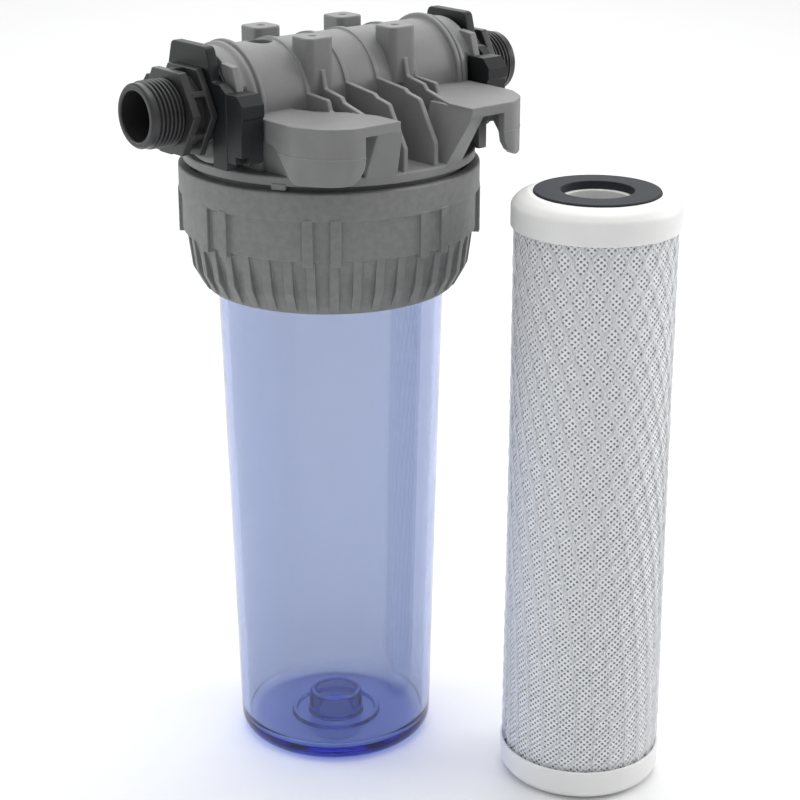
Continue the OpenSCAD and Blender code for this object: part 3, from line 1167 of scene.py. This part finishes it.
    def cut(self, head: Piece) -> Piece:
        """Opens the waterways, the vent and the pilot holes.

        Args:
            head: The joined head.

        Returns:
            The head.
        """
        z, neck, bowl = self.axis_z, self.neck_x, self.bowl_z
        inner, wide, duct = neck - self.socket_depth, self.socket_r, self.duct_r
        for side in (-1, 1):
            socket = [(0, inner, 0), (wide, inner, 0.8), (wide, neck + 2, 0), (0, neck + 2, 0)]
            outline = rounded([(r, side * x, c) for r, x, c in socket])
            combined(head, turned("socket", outline, Axis.X, self.port, 64), Joining.CUT)
        for low, high in ((-neck, -27), (-4, neck)):
            outline = [(0, low), (self.port_r, low), (self.port_r, high), (0, high)]
            combined(head, turned("port_bore", outline, Axis.X, self.port, BORE_ROUND), Joining.CUT)
        drop = turned("drop", [
            (0, bowl + 18), (duct, bowl + 18), (duct, z), (0, z),
        ], Axis.Z, Vector((self.drop_x, 0, 0)), BORE_ROUND)
        combined(head, drop, Joining.CUT)
        rise = turned("rise", [
            (0, bowl + 11), (self.pipe_r, bowl + 11), (self.pipe_r, bowl + 34), (duct, bowl + 34),
            (duct, z + 1), (0, z + 1),
        ], Axis.Z, self.origin, BORE_ROUND)
        combined(head, rise, Joining.CUT)
        vent_low, vent_high = box_mm("vent_screw")
        top, pilot_r = self.top_z, self.pilot_r
        vent = turned("vent", rounded([
            (0, z, 0), (3.05, z, 0), (3.05, top - 11, 0), (5, top - 11, 0.3), (5, top - 3.2, 0.3),
            (7, top - 1.2, 0), (0, top - 1.2, 0),
        ]), Axis.Z, Vector(((vent_low.x + vent_high.x) / 2, 0, 0)), BORE_ROUND)
        combined(head, vent, Joining.CUT)
        pilot = turned("pilots", [
            (0, top - 12), (pilot_r, top - 11), (pilot_r, top - 0.5), (pilot_r + 1, top + 0.5),
            (0, top + 0.5),
        ], Axis.Z, Vector((self.boss_x, -self.boss_y, 0)), 24)
        return combined(head, mirrored(pilot), Joining.CUT)

    def build(self) -> Piece:
        """Models and dresses the head.

        Returns:
            The finished head.
        """
        head = self.bell()
        for part in (self.barrel, self.fins, self.wings, self.bosses, self.teeth, self.stops):
            combined(head, part())
        smoothed(self.cut(head))
        dress(head, self.material)
        return place(head, "head", "head_grey", "head_body")


# ---- union nut --------------------------------------------------------------


@dataclass
class UnionNut:
    """The big ribbed nut that draws the bowl up to the head."""

    material: Material
    flutes: int = 40
    key_pairs: int = 8
    phase: float = 4.0
    band_r: float = 62.0
    waist_r: float = 60.8
    foot_r: float = 52.0
    lip_r: float = 48.2
    bore_r: float = 57.6
    seat_r: float = 54.7
    flute_half: float = 1.8
    key_half: float = 2.1
    key_step: float = 5.4
    origin: Vector = field(default_factory=lambda: Vector((0, 0, 0)))

    def __post_init__(self) -> None:
        """Reads the nut's places from the frame."""
        low, high = box_mm("ring_nut")
        self.low, self.high = low.z, high.z
        self.shelf = box_mm("bowl")[1].z

    def body(self) -> Piece:
        """The turned body: smooth band, waist, cone, and the shelf under the bowl's flange.

        Returns:
            The closed solid.
        """
        low, high, shelf = self.low, self.high, self.shelf
        return turned("nut", rounded([
            (self.lip_r, low, 0.4), (self.foot_r, low, 0.8), (self.foot_r + 1.4, low + 4, 1),
            (58.6, low + 23.2, 0.4), (self.waist_r, low + 24.2, 0.35), (self.waist_r, high - 11.6, 0.3),
            (self.band_r, high - 11.0, 0.35), (self.band_r, high, 0.9), (self.bore_r, high, 0.8),
            (self.bore_r, shelf - 1, 0), (self.seat_r, shelf - 1, 0), (self.seat_r, shelf - 8.3, 0.5),
            (self.lip_r, shelf - 8.3, 0.5),
        ], steps=3), Axis.Z, self.origin, 160)

    def flute(self) -> Piece:
        """One grip flute: upright outer face, chamfered at the foot.

        Returns:
            The flute, standing out along +X.
        """
        low = self.low
        outline = [
            (50.5, low + 1.2, 0), (self.foot_r + 1.2, low + 1.2, 0.4), (57.6, low + 9.2, 0.8),
            (59.5, low + 24, 0), (57.0, low + 24, 0), (55.6, low + 19.0, 0), (50.5, low + 17.0, 0),
        ]
        half = self.flute_half
        return softened(pulled("flute", rounded(outline, steps=2), Plane.ALONG, -half, half), 0.35, 2)

    def key(self) -> Piece:
        """One wrench key on the waist.

        Returns:
            The key, standing out along +X.
        """
        key = slab(
            "key", (-self.key_half, self.low + 22.2), (self.key_half, self.high - 10.4), Plane.ACROSS,
            self.waist_r - 2, self.band_r + 0.35,
        )
        return softened(key, 0.35, 2)

    def build(self) -> Piece:
        """Models and dresses the nut.

        Returns:
            The finished nut.
        """
        step = 360 / self.flutes
        turns = [self.phase + (i + 0.5) * step for i in range(self.flutes)]
        flutes = ringed(self.flute(), turns, self.origin)
        apart = math.degrees(self.key_step / self.waist_r)
        firsts = [self.phase + i * 360 / self.key_pairs for i in range(self.key_pairs)]
        keys = ringed(self.key(), [a + side * apart for a in firsts for side in (-1, 1)], self.origin)
        nut = combined(combined(self.body(), flutes), keys)
        dress(smoothed(nut), self.material)
        return place(nut, "nut", "nut_grey", "ring_nut")


# ---- bowl -------------------------------------------------------------------


@dataclass
class ClearBowl:
    """The clear drafted bowl, with the spigot and ring on its floor that centre the cartridge."""

    material: Material
    foot_r: float = 42.2
    neck_r: float = 47.2
    neck_z: float = 206.0
    wall: float = 3.2
    floor: float = 5.0
    foot_corner: float = 7.0
    flange_r: float = 54.3
    flange_t: float = 8.0
    seal_r: float = 50.5
    seal_half: float = 2.1
    seal_depth: float = 3.2
    ring_in: float = 17.5
    ring_out: float = 19.5
    ring_t: float = 1.4
    spigot_h: float = 10.0
    origin: Vector = field(default_factory=lambda: Vector((0, 0, 0)))

    def build(self) -> Piece:
        """Models and dresses the bowl.

        Returns:
            The finished bowl.
        """
        top = box_mm("bowl")[1].z
        inner_foot, inner_neck = self.foot_r - self.wall, self.neck_r - self.wall
        flange, groove, floor = top - self.flange_t, top - self.seal_depth, self.floor
        seal_in, seal_out = self.seal_r - self.seal_half, self.seal_r + self.seal_half
        ring, spigot = floor + self.ring_t, floor + self.spigot_h
        bowl = turned("bowl", rounded([
            (0, 0, 0), (self.foot_r, 0, self.foot_corner), (self.neck_r, self.neck_z, 4),
            (self.neck_r, flange, 0.8), (self.flange_r, flange, 0.6), (self.flange_r, top, 0.6),
            (seal_out, top, 0.3), (seal_out, groove, 0.3), (seal_in, groove, 0.3), (seal_in, top, 0.3),
            (inner_neck, top, 0.8), (inner_neck, self.neck_z, 4),
            (inner_foot, floor, self.foot_corner - 1.2), (self.ring_out, floor, 0.5),
            (self.ring_out, ring, 0.5), (self.ring_in, ring, 0.5), (self.ring_in, floor, 0.5),
            (12, floor, 0.8), (11.6, spigot, 1.2), (8.9, spigot, 1), (8.5, floor, 1), (0, floor, 0),
        ], steps=5), Axis.Z, self.origin, BIG_ROUND)
        dress(smoothed(bowl, 40), self.material)
        return place(bowl, "bowl", "clear_blue", "bowl")


# ---- nipples and clips ------------------------------------------------------


@dataclass
class PortNipple:
    """A clip-in nipple: spigot with two seal grooves, wrench hexagon and pipe thread."""

    material: Material
    crest_r: float = 13.22
    root_r: float = 12.06
    pitch: float = 1.814
    hexagon: float = 32.0
    turns: float = 8.4
    bore_r: float = 8.0
    mouth_r: float = 9.8
    spigot_r: float = 12.4
    groove_r: float = 10.0
    groove_half: float = 1.5
    flange_r: float = 20.0
    neck_r: float = 14.0

    def __post_init__(self) -> None:
        """Reads the nipple's places from the frame."""
        low, high = box_mm("outlet_nipple")
        self.inner, self.outer = low.x, high.x
        self.port = Vector((0, 0, (low.z + high.z) / 2))
        self.flange = box_mm("outlet_clip")[1].x + 0.3
        self.hex_in = self.flange + 7

    def hex_plate(self, name: str, across: float, start: float, end: float) -> Piece:
        """A hexagonal plate round the port's axis.

        Args:
            name: The piece's name.
            across: Width across the flats.
            start: Place of its inner face.
            end: Place of its outer face.

        Returns:
            The closed solid.
        """
        corners = hexagon_corners(across, self.port.z, 1.2)
        plate = pulled(name, rounded(corners, steps=3), Plane.ACROSS, start, end)
        return softened(plate, 0.4, 2, 50)

    def body(self) -> Piece:
        """The turned core with its bore, seal grooves and clip groove.

        Returns:
            The closed solid.
        """
        clip_in, outer, hex_in = self.flange - 5, self.outer, self.hex_in
        spigot, seat, root = self.spigot_r, self.groove_r, self.root_r
        grooves: list[Corner] = []
        for x in (self.inner + 4, self.inner + 11):
            start, end = x - self.groove_half, x + self.groove_half
            grooves += [(spigot, start, 0.2), (seat, start, 0.2), (seat, end, 0.2), (spigot, end, 0.2)]
        outline = [
            (self.bore_r, self.inner, 0.4), (spigot, self.inner, 0.8), *grooves,
            (spigot, clip_in - 1.95, 0.2), (self.flange_r, clip_in - 1.95, 0.4),
            (self.flange_r, clip_in, 0.4), (self.neck_r, clip_in, 0.4), (self.neck_r, hex_in + 0.5, 0),
            (root, hex_in + 0.5, 0), (root, outer - 3.4, 0.3), (root + 0.5, outer - 3.0, 0.4),
            (root + 0.5, outer - 0.9, 0.5), (root - 0.4, outer, 0.5), (self.mouth_r, outer, 0.6),
            (self.mouth_r, self.flange + 2, 0.8), (self.bore_r, self.flange, 0.8),
        ]
        return turned("nipple", rounded(outline, steps=3), Axis.X, self.port, PORT_ROUND)

    def thread(self) -> Piece:
        """The right-hand pipe thread, trimmed to a tapered start.

        Returns:
            The closed ridge.
        """
        start, half = self.hex_in + 1.2, self.pitch / 2
        deep, crest = self.root_r - 0.35, self.crest_r
        section = [
            (deep, start - half * 0.9), (crest, start - 0.22), (crest, start + 0.22),
            (deep, start + half * 0.9),
        ]
        ridge = helix("thread", section, self.pitch, self.turns, self.port, Axis.X)
        tip, low = self.outer - 2.2, self.hex_in + 0.6
        sleeve = turned("sleeve", [
            (deep - 1, low), (crest - 0.06, low), (crest - 0.06, tip - 2.2), (self.root_r + 0.3, tip),
            (deep - 1, tip),
        ], Axis.X, self.port, PORT_ROUND)
        return combined(ridge, sleeve, Joining.COMMON)

    def build(self) -> tuple[Piece, Piece]:
        """Models the outlet nipple and a copy turned half round, so that both threads are right-hand.

        Returns:
            The outlet's and the inlet's nipple.
        """
        nipple = combined(self.body(), self.thread())
        hub = self.hex_plate("hex_in", self.hexagon + 1.6, self.flange, self.flange + 3)
        nut = self.hex_plate("hex_out", self.hexagon, self.hex_in, self.hex_in + 3.5)
        for plate in (hub, nut):
            hole = turned("hole", [(0, 60), (11, 60), (11, 90), (0, 90)], Axis.X, self.port, BORE_ROUND)
            combined(plate, hole, Joining.CUT)
            combined(nipple, plate)
        web = slab(
            "webs", (-1.2, self.port.z + 12), (1.2, self.port.z + 16.4), Plane.ACROSS,
            self.flange + 2, self.hex_in + 1,
        )
        combined(nipple, ringed(softened(web, 0.25), [60.0 * i for i in range(6)], self.port, Axis.X))
        nipple.name = nipple.data.name = "outlet_nipple_threaded"
        dress(smoothed(nipple), self.material)
        inlet = copied(nipple, "inlet_nipple_threaded", Matrix.Rotation(math.pi, 4, "Z"))
        place(nipple, "head", "black_nylon", "outlet_nipple")
        return nipple, place(inlet, "head", "black_nylon", "inlet_nipple")


@dataclass
class PortClip:
    """The black clip that drops over a nipple's neck and locks it in the head."""

    material: Material
    plate_y: float = 24.0
    tab_y: float = 11.6
    slot_half: float = 14.3
    plate_t: float = 4.4

    def __post_init__(self) -> None:
        """Reads the clip's places from the frame."""
        low, high = box_mm("outlet_clip")
        self.back, self.front = low.x, high.x
        self.low, self.top, self.side = low.z, high.z, high.y
        nipple_low, nipple_high = box_mm("outlet_nipple")
        self.axis_z = (nipple_low.z + nipple_high.z) / 2

    def plate(self) -> Piece:
        """The forked plate with its finger tab.

        Returns:
            The closed solid.
        """
        low, z, s = self.low, self.axis_z, self.slot_half
        shoulder = z + 12
        right: list[Corner] = [
            (s, low, 0.8), (self.plate_y, low, 2), (self.plate_y, shoulder - 3, 1),
            (self.plate_y - 4, shoulder, 1.5), (self.tab_y + 3.6, shoulder, 1.2), (self.tab_y, self.top, 2.6),
        ]
        outline = [*right, *[(-u, v, c) for u, v, c in reversed(right)], (-s, z, 0)]
        arch = [math.pi * k / 16 for k in range(15, 0, -1)]
        outline += [(s * math.cos(a), z + s * math.sin(a), 0) for a in arch]
        corners = rounded([*outline, (s, z, 0)], steps=4)
        plate = pulled("clip", corners, Plane.ACROSS, self.front - self.plate_t, self.front)
        return softened(plate, 0.5, 2, 40)

    def jaw(self) -> Piece:
        """The side blocks that hook behind the head's flange, with their ledge and chamfer.

        Returns:
            Both blocks, as one piece of separate solids.
        """
        z, side, inner = self.axis_z, -self.side, -self.plate_y
        low, top = self.low + 3.5, z + 9
        block = pulled("jaws", rounded([
            (inner + 0.6, low, 0), (side + 1.1, low, 1.2), (side + 0.8, z - 0.2, 0.3), (side, z + 0.6, 0.4),
            (side, top - 3.8, 0.5), (side + 3.4, top, 0.5), (inner + 0.6, top, 0),
        ], steps=3), Plane.ACROSS, self.back, self.front - 0.3)
        softened(block, 0.45, 2, 40)
        notch = slab(
            "notch", (side - 1, low - 1), (side + 5, low + 3.2), Plane.ACROSS, self.front - 4, self.front + 1,
        )
        combined(block, softened(notch, 0.3), Joining.CUT)
        lip = slab("lip", (inner - 1, low), (inner + 3, top), Plane.ACROSS, self.back, self.back + 1.1)
        return mirrored(combined(block, softened(lip, 0.3)), x=False)

    def build(self) -> tuple[Piece, Piece]:
        """Models the outlet's clip and a mirror image for the inlet.

        Returns:
            The outlet's and the inlet's clip.
        """
        clip = combined(self.plate(), self.jaw())
        clip.name = clip.data.name = "outlet_clip_moulded"
        dress(smoothed(clip), self.material)
        inlet = copied(clip, "inlet_clip_moulded", Matrix.Rotation(math.pi, 4, "Z"))
        place(clip, "outlet_clip", "black_nylon", "outlet_clip")
        return clip, place(inlet, "inlet_clip", "black_nylon", "inlet_clip")


@dataclass
class VentScrew:
    """The slotted screw that bleeds air from the inlet side."""

    material: Material
    head_r: float = 4.7
    head_t: float = 4.0
    shank_r: float = 3.0
    slot_half: float = 0.6
    slot_depth: float = 1.4
    grooves: int = 24
    groove_half: float = 0.2

    def build(self) -> Piece:
        """Models and dresses the screw.

        Returns:
            The finished screw.
        """
        low, high = box_mm("vent_screw")
        centre = Vector(((low.x + high.x) / 2, 0, 0))
        under = high.z - self.head_t
        screw = turned("vent_screw_slotted", rounded([
            (0, low.z, 0), (self.shank_r - 0.5, low.z, 0.3), (self.shank_r, low.z + 1, 0.3),
            (self.shank_r, under, 0.2), (self.head_r, under, 0.3), (self.head_r, high.z, 0.6), (0, high.z, 0),
        ]), Axis.Z, centre, BORE_ROUND)
        slot = slab(
            "slot", (centre.x - 6, -self.slot_half), (centre.x + 6, self.slot_half), Plane.FLAT,
            high.z - self.slot_depth, high.z + 1,
        )
        combined(screw, slot, Joining.CUT)
        edge, half = centre.x + self.head_r, self.groove_half
        groove = slab("knurl", (edge - 0.25, -half), (edge + 1, half), Plane.FLAT, under - 1, high.z + 1)
        knurl = ringed(groove, [360 * i / self.grooves for i in range(self.grooves)], centre)
        combined(screw, knurl, Joining.CUT)
        dress(smoothed(screw), self.material)
        return place(screw, "vent_screw", "black_nylon", "vent_screw")


@dataclass
class SealRings:
    """The O-rings, each with the fine flash line that its mould leaves."""

    material: Material
    flash: float = 0.06
    facets: int = 20

    def ring(self, node: str, body: str, axis: Axis) -> Piece:
        """One O-ring in the place of its CAD node.

        Args:
            node: The CAD node.
            body: The body that it rides on.
            axis: The ring's axis.

        Returns:
            The finished ring.
        """
        low, high = box_mm(node)
        middle, size = (low + high) / 2, high - low
        wire = (size.x if axis is Axis.X else size.z) / 2
        path = size.y / 2 - wire
        along = middle.x if axis is Axis.X else middle.z
        outline = []
        for i in range(self.facets):
            a = math.tau * i / self.facets
            bead = wire + (self.flash if i in (0, self.facets // 2) else 0)
            outline.append((path + bead * math.cos(a), along + wire * math.sin(a)))
        ring = turned(f"{node}_moulded", outline, axis, middle, 72)
        activate(ring)
        bpy.ops.object.shade_smooth_by_angle(angle=math.radians(60))
        dress(ring, self.material)
        return place(ring, body, "seal_rubber", node)

    def build(self) -> list[Piece]:
        """Models and dresses all six rings.

        Returns:
            The rings.
        """
        rings = [self.ring("bowl_o_ring", "bowl", Axis.Z), self.ring("vent_o_ring", "vent_seal", Axis.Z)]
        for port in ("inlet", "outlet"):
            for where in ("inner", "outer"):
                rings.append(self.ring(f"{port}_o_ring_{where}", "head", Axis.X))
        return rings


# ---- cartridge --------------------------------------------------------------


@dataclass
class FilterCartridge:
    """The standing cartridge: a carbon block in a wrap and a net, with a cap and gasket at each end."""

    cap_material: Material
    gasket_material: Material
    carbon_material: Material
    net_material: Material
    wrap_finish: PerforatedWrap
    cap_r: float = 34.1
    cap_bore: float = 13.2
    gasket_r: float = 25.3
    gasket_bore: float = 14.6
    gasket_t: float = 3.4
    gasket_proud: float = 0.8
    net_r: float = 32.5
    core_r: float = 14.7
    core_depth: float = 14.0
    recess: float = 5.7
    cells: int = 28
    cell_rise: float = 14.8
    strand_half: tuple[float, float] = (0.44, 1.0)
    strand_bulge: float = 0.1
    strand_lean: float = 0.5
    per_cell: int = 8
    wrap_t: float = 0.45
    body: str = "cartridge"

    def __post_init__(self) -> None:
        """Reads the cartridge's places from the frame."""
        low, high = box_mm("carbon_block")
        self.axis = Vector(((low.x + high.x) / 2, (low.y + high.y) / 2, 0))
        self.low = box_mm("cartridge_bottom_gasket")[0].z
        self.high = box_mm("cartridge_top_gasket")[1].z
        self.top_cap = box_mm("cartridge_top_cap")
        self.bottom_cap = box_mm("cartridge_bottom_cap")

    def cap(self, name: str, top: bool) -> Piece:
        """One end cap with its gasket seat and collar.

        Args:
            name: The CAD node that it stands for.
            top: Whether it is the domed top cap or the flat bottom one.

        Returns:
            The finished cap.
        """
        face, way = (self.high, -1) if top else (self.low, 1)
        low, high = self.top_cap if top else self.bottom_cap
        skirt = (high.z - low.z) + self.gasket_proud
        bore, seat, inner = self.cap_bore, self.gasket_t, self.net_r + 0.6
        rim, round_rim = self.gasket_r + 0.1, (self.gasket_r + 2.5, 0.9, 6)
        core, depth, recess = self.core_r, self.core_depth, self.recess
        if top:
            crown, edge = [round_rim, (self.cap_r - 2.4, 2.6, 5), (self.cap_r, 5.4, 3.5)], self.cap_r
        else:
            crown = [round_rim, (self.cap_r - 2.2, 1.0, 3), (self.cap_r - 0.4, 4.0, 2.5)]
            edge = self.cap_r + 0.25
        outline = [
            (bore, seat, 0.4), (rim, seat, 0), (rim, self.gasket_proud, 0.3), *crown,
            (self.cap_r, skirt - 1.2, 0.4), (edge, skirt, 0.5), (inner, skirt, 0.4), (inner, recess, 0),
            (core, recess, 0), (core, depth, 0.3), (bore, depth, 0.4),
        ]
        places = [(r, face + way * d) for r, d in rounded(outline, steps=4)]
        cap = turned(f"{name}_moulded", places, Axis.Z, self.axis, 128)
        dress(smoothed(cap, 40), self.cap_material)
        return place(cap, self.body, "white_cap", name)

    def gasket(self, name: str, top: bool) -> Piece:
        """One flat gasket, its cut edges slightly rounded.

        Args:
            name: The CAD node that it stands for.
            top: Whether it is the top one.

        Returns:
            The finished gasket.
        """
        low, high = box_mm(name)
        near = 0.45 if top else 0.2
        gasket = turned(f"{name}_cut", rounded([
            (self.gasket_bore, low.z, 0.2), (self.gasket_r, low.z, near), (self.gasket_r, high.z, near),
            (self.gasket_bore, high.z, 0.35),
        ]), Axis.Z, self.axis, 112)
        dress(smoothed(gasket), self.gasket_material)
        return place(gasket, self.body, "gasket_rubber", name)

    def strand(self, side: int) -> Piece:
        """One strand of the net, waving from one neighbour to the other as it rises.

        Args:
            side: 1 or -1, the way that it sets out.

        Returns:
            The closed strand, at angle 0.
        """
        half_depth, half_width = self.strand_half
        start, end = self.bottom_cap[1].z - 2.0, self.top_cap[0].z + 2.0
        swing = math.tau / self.cells / 4
        count = math.ceil((end - start) / self.cell_rise * self.per_cell)
        centres = []
        for i in range(count + 1):
            z = start + (end - start) * i / count
            wave = math.tau * (z - start) / self.cell_rise
            drift = -self.strand_lean * (end - z) ** 2 / (2 * (end - start) * self.net_r)
            angle = side * swing * math.cos(wave) + drift
            r = self.net_r + self.strand_bulge * math.cos(2 * wave)
            centres.append(self.axis * MM + Vector((r * math.cos(angle), r * math.sin(angle), z)) * MM)
        bpy.ops.object.select_all(action="DESELECT")
        bpy.ops.mesh.primitive_circle_add(vertices=6, radius=MM)
        strand = bpy.context.object
        strand.name = "strand"
        editing(Mode.EDIT)
        bpy.ops.transform.resize(value=(half_depth, half_width, 1))
        bpy.ops.transform.translate(value=centres[0])
        bpy.ops.mesh.edge_face_add()
        for here, there in pairwise(centres):
            bpy.ops.mesh.extrude_region_move(TRANSFORM_OT_translate={"value": there - here})
        return closed_up(strand)

    def net(self) -> Piece:
        """The net: strands that touch their neighbours in turn, with eye-shaped cells between them.

        Returns:
            The finished net.
        """
        step = 360 / self.cells
        halves = []
        for side in (-1, 1):
            turns = [(i + (0 if side > 0 else 0.5)) * step for i in range(self.cells)]
            halves.append(ringed(self.strand(side), turns, self.axis))
        net = joined(halves)
        net.name = net.data.name = "netting"
        activate(net)
        bpy.ops.object.shade_smooth()
        dress(net, self.net_material)
        return place(net, self.body, "white_net", "outer_net")

    def wrap(self) -> Piece:
        """The perforated wrap on the block, its ends tucked under the caps.

        Returns:
            The finished wrap.
        """
        low, high = box_mm("outer_wrap")
        radius = (high.x - low.x) / 2
        inside = radius - self.wrap_t
        wrap = turned("perforated_wrap", rounded([
            (inside, low.z, 0), (radius, low.z, 0.2), (radius, high.z, 0.2), (inside, high.z, 0),
        ], steps=2), Axis.Z, self.axis, 128)
        dress(smoothed(wrap), self.wrap_finish.build(self.axis, radius))
        return place(wrap, self.body, "white_wrap", "outer_wrap")

    def build(self) -> list[Piece]:
        """Models and dresses the cartridge.

        Returns:
            Its pieces, with the carbon block kept from CAD.
        """
        block = dress(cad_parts["carbon_block"], self.carbon_material)
        return [
            block, self.wrap(), self.net(),
            self.cap("cartridge_top_cap", True), self.cap("cartridge_bottom_cap", False),
            self.gasket("cartridge_top_gasket", True), self.gasket("cartridge_bottom_gasket", False),
        ]


# ---- studio -----------------------------------------------------------------


@dataclass(frozen=True)
class Softbox:
    """A square soft light that is turned to the object."""

    name: str
    place: tuple[float, float, float]
    side: float
    watts: float
    colour: tuple[float, float, float] = (1.0, 1.0, 1.0)

    def build(self, target: Vector) -> Piece:
        """Sets the light up.

        Args:
            target: The point that it looks at, in metres.

        Returns:
            The light.
        """
        lamp = bpy.data.lights.new(self.name, "AREA")
        lamp.shape, lamp.size, lamp.energy, lamp.color = "SQUARE", self.side, self.watts, self.colour
        light = bpy.data.objects.new(self.name, lamp)
        light.location = self.place
        light.rotation_euler = (target - Vector(self.place)).to_track_quat("-Z", "Y").to_euler()
        bpy.context.collection.objects.link(light)
        return light


@dataclass
class Studio:
    """Pale floor, soft lights, near-white surroundings and the camera."""

    azimuth: float = -40.0
    away: float = 0.8
    aside: float = 0.02914
    height: float = 0.4434
    pitch: float = 19.93
    lens: float = 89.06
    floor_side: float = 12.0
    floor_drop: float = 0.0002
    horizon: float = 0.36
    zenith: float = 0.8
    lights: tuple[Softbox, ...] = (
        Softbox("overhead_softbox", (0.15, 0.1, 1.5), 1.2, 10.0),
        Softbox("right_softbox", (1.25, -0.6, 0.65), 0.7, 7.0),
        Softbox("left_back_softbox", (-0.85, 1.05, 0.6), 0.7, 5.0, (0.9, 1.0, 0.96)),
        Softbox("backdrop_softbox", (1.5, 1.8, 1.7), 2.0, 17.0),
    )

    def floor(self) -> Piece:
        """The floor, under the bowl's foot."""
        bpy.ops.object.select_all(action="DESELECT")
        bpy.ops.mesh.primitive_plane_add(size=self.floor_side, location=(0, 0, -self.floor_drop))
        floor = bpy.context.object
        floor.name = "studio_floor"
        bpy.ops.object.transform_apply(location=True)
        editing(Mode.EDIT)
        bpy.ops.mesh.subdivide(number_cuts=6)
        editing(Mode.OBJECT)
        dress(floor, StudioFloor().build())
        floor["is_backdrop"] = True
        return floor

    def surroundings(self) -> None:
        """White surroundings that light more from overhead than from the horizon."""
        world = bpy.data.worlds.new("studio")
        bpy.context.scene.world = world
        world.use_nodes = True
        tree = world.node_tree
        tree.nodes.clear()
        way = add_node(tree, "ShaderNodeTexCoord").outputs["Generated"]
        height = add_node(tree, "ShaderNodeSeparateXYZ", {0: way})
        strength = add_node(
            tree, "ShaderNodeMapRange",
            {
                "Value": height.outputs["Z"], "From Min": 0.0, "From Max": 0.8, "To Min": self.horizon,
                "To Max": self.zenith,
            },
        )
        ray = add_node(tree, "ShaderNodeLightPath")
        seen = add_node(
            tree, "ShaderNodeMath", {0: strength.outputs[0], 1: ray.outputs["Is Camera Ray"]},
            operation="MAXIMUM",
        )
        light = add_node(
            tree, "ShaderNodeBackground", {"Color": (1, 1, 1, 1), "Strength": seen.outputs[0]},
        )
        add_node(tree, "ShaderNodeOutputWorld", {"Surface": light.outputs[0]})

    def camera(self) -> Piece:
        """The camera, set by its distance, side step, height and pitch.

        Returns:
            The camera.
        """
        turn = Matrix.Rotation(math.radians(self.azimuth), 3, "Z")
        data = bpy.data.cameras.new("camera")
        data.lens = self.lens
        camera = bpy.data.objects.new("camera", data)
        camera.location = turn @ Vector((self.aside, -self.away, self.height))
        camera.rotation_euler = (math.radians(90 - self.pitch), 0, math.radians(self.azimuth))
        bpy.context.collection.objects.link(camera)
        bpy.context.scene.camera = camera
        return camera

    def build(self) -> None:
        """Sets up floor, lights, surroundings, camera and a plain view transform."""
        self.floor()
        self.surroundings()
        low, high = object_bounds()
        for light in self.lights:
            light.build((low + high) / 2)
        self.camera()
        bpy.context.scene.view_settings.view_transform = "Standard"


def main() -> None:
    """Builds the filter piece by piece, then the studio."""
    logging.basicConfig(level=logging.INFO, format="%(name)s: %(message)s")
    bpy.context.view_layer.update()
    nylon = NYLON.build()
    PortHead(HEAD_PLASTIC.build()).build()
    UnionNut(NUT_PLASTIC.build()).build()
    ClearBowl(ClearStyrene().build()).build()
    PortNipple(nylon).build()
    acetal = ACETAL.build()
    PortClip(acetal).build()
    VentScrew(acetal).build()
    SealRings(NITRILE.build()).build()
    FilterCartridge(
        CAP_PLASTIC.build(), GASKET.build(), CARBON.build(), ExtrudedNet().build(), PerforatedWrap(),
    ).build()
    Studio().build()


if __name__ == "__main__":
    main()
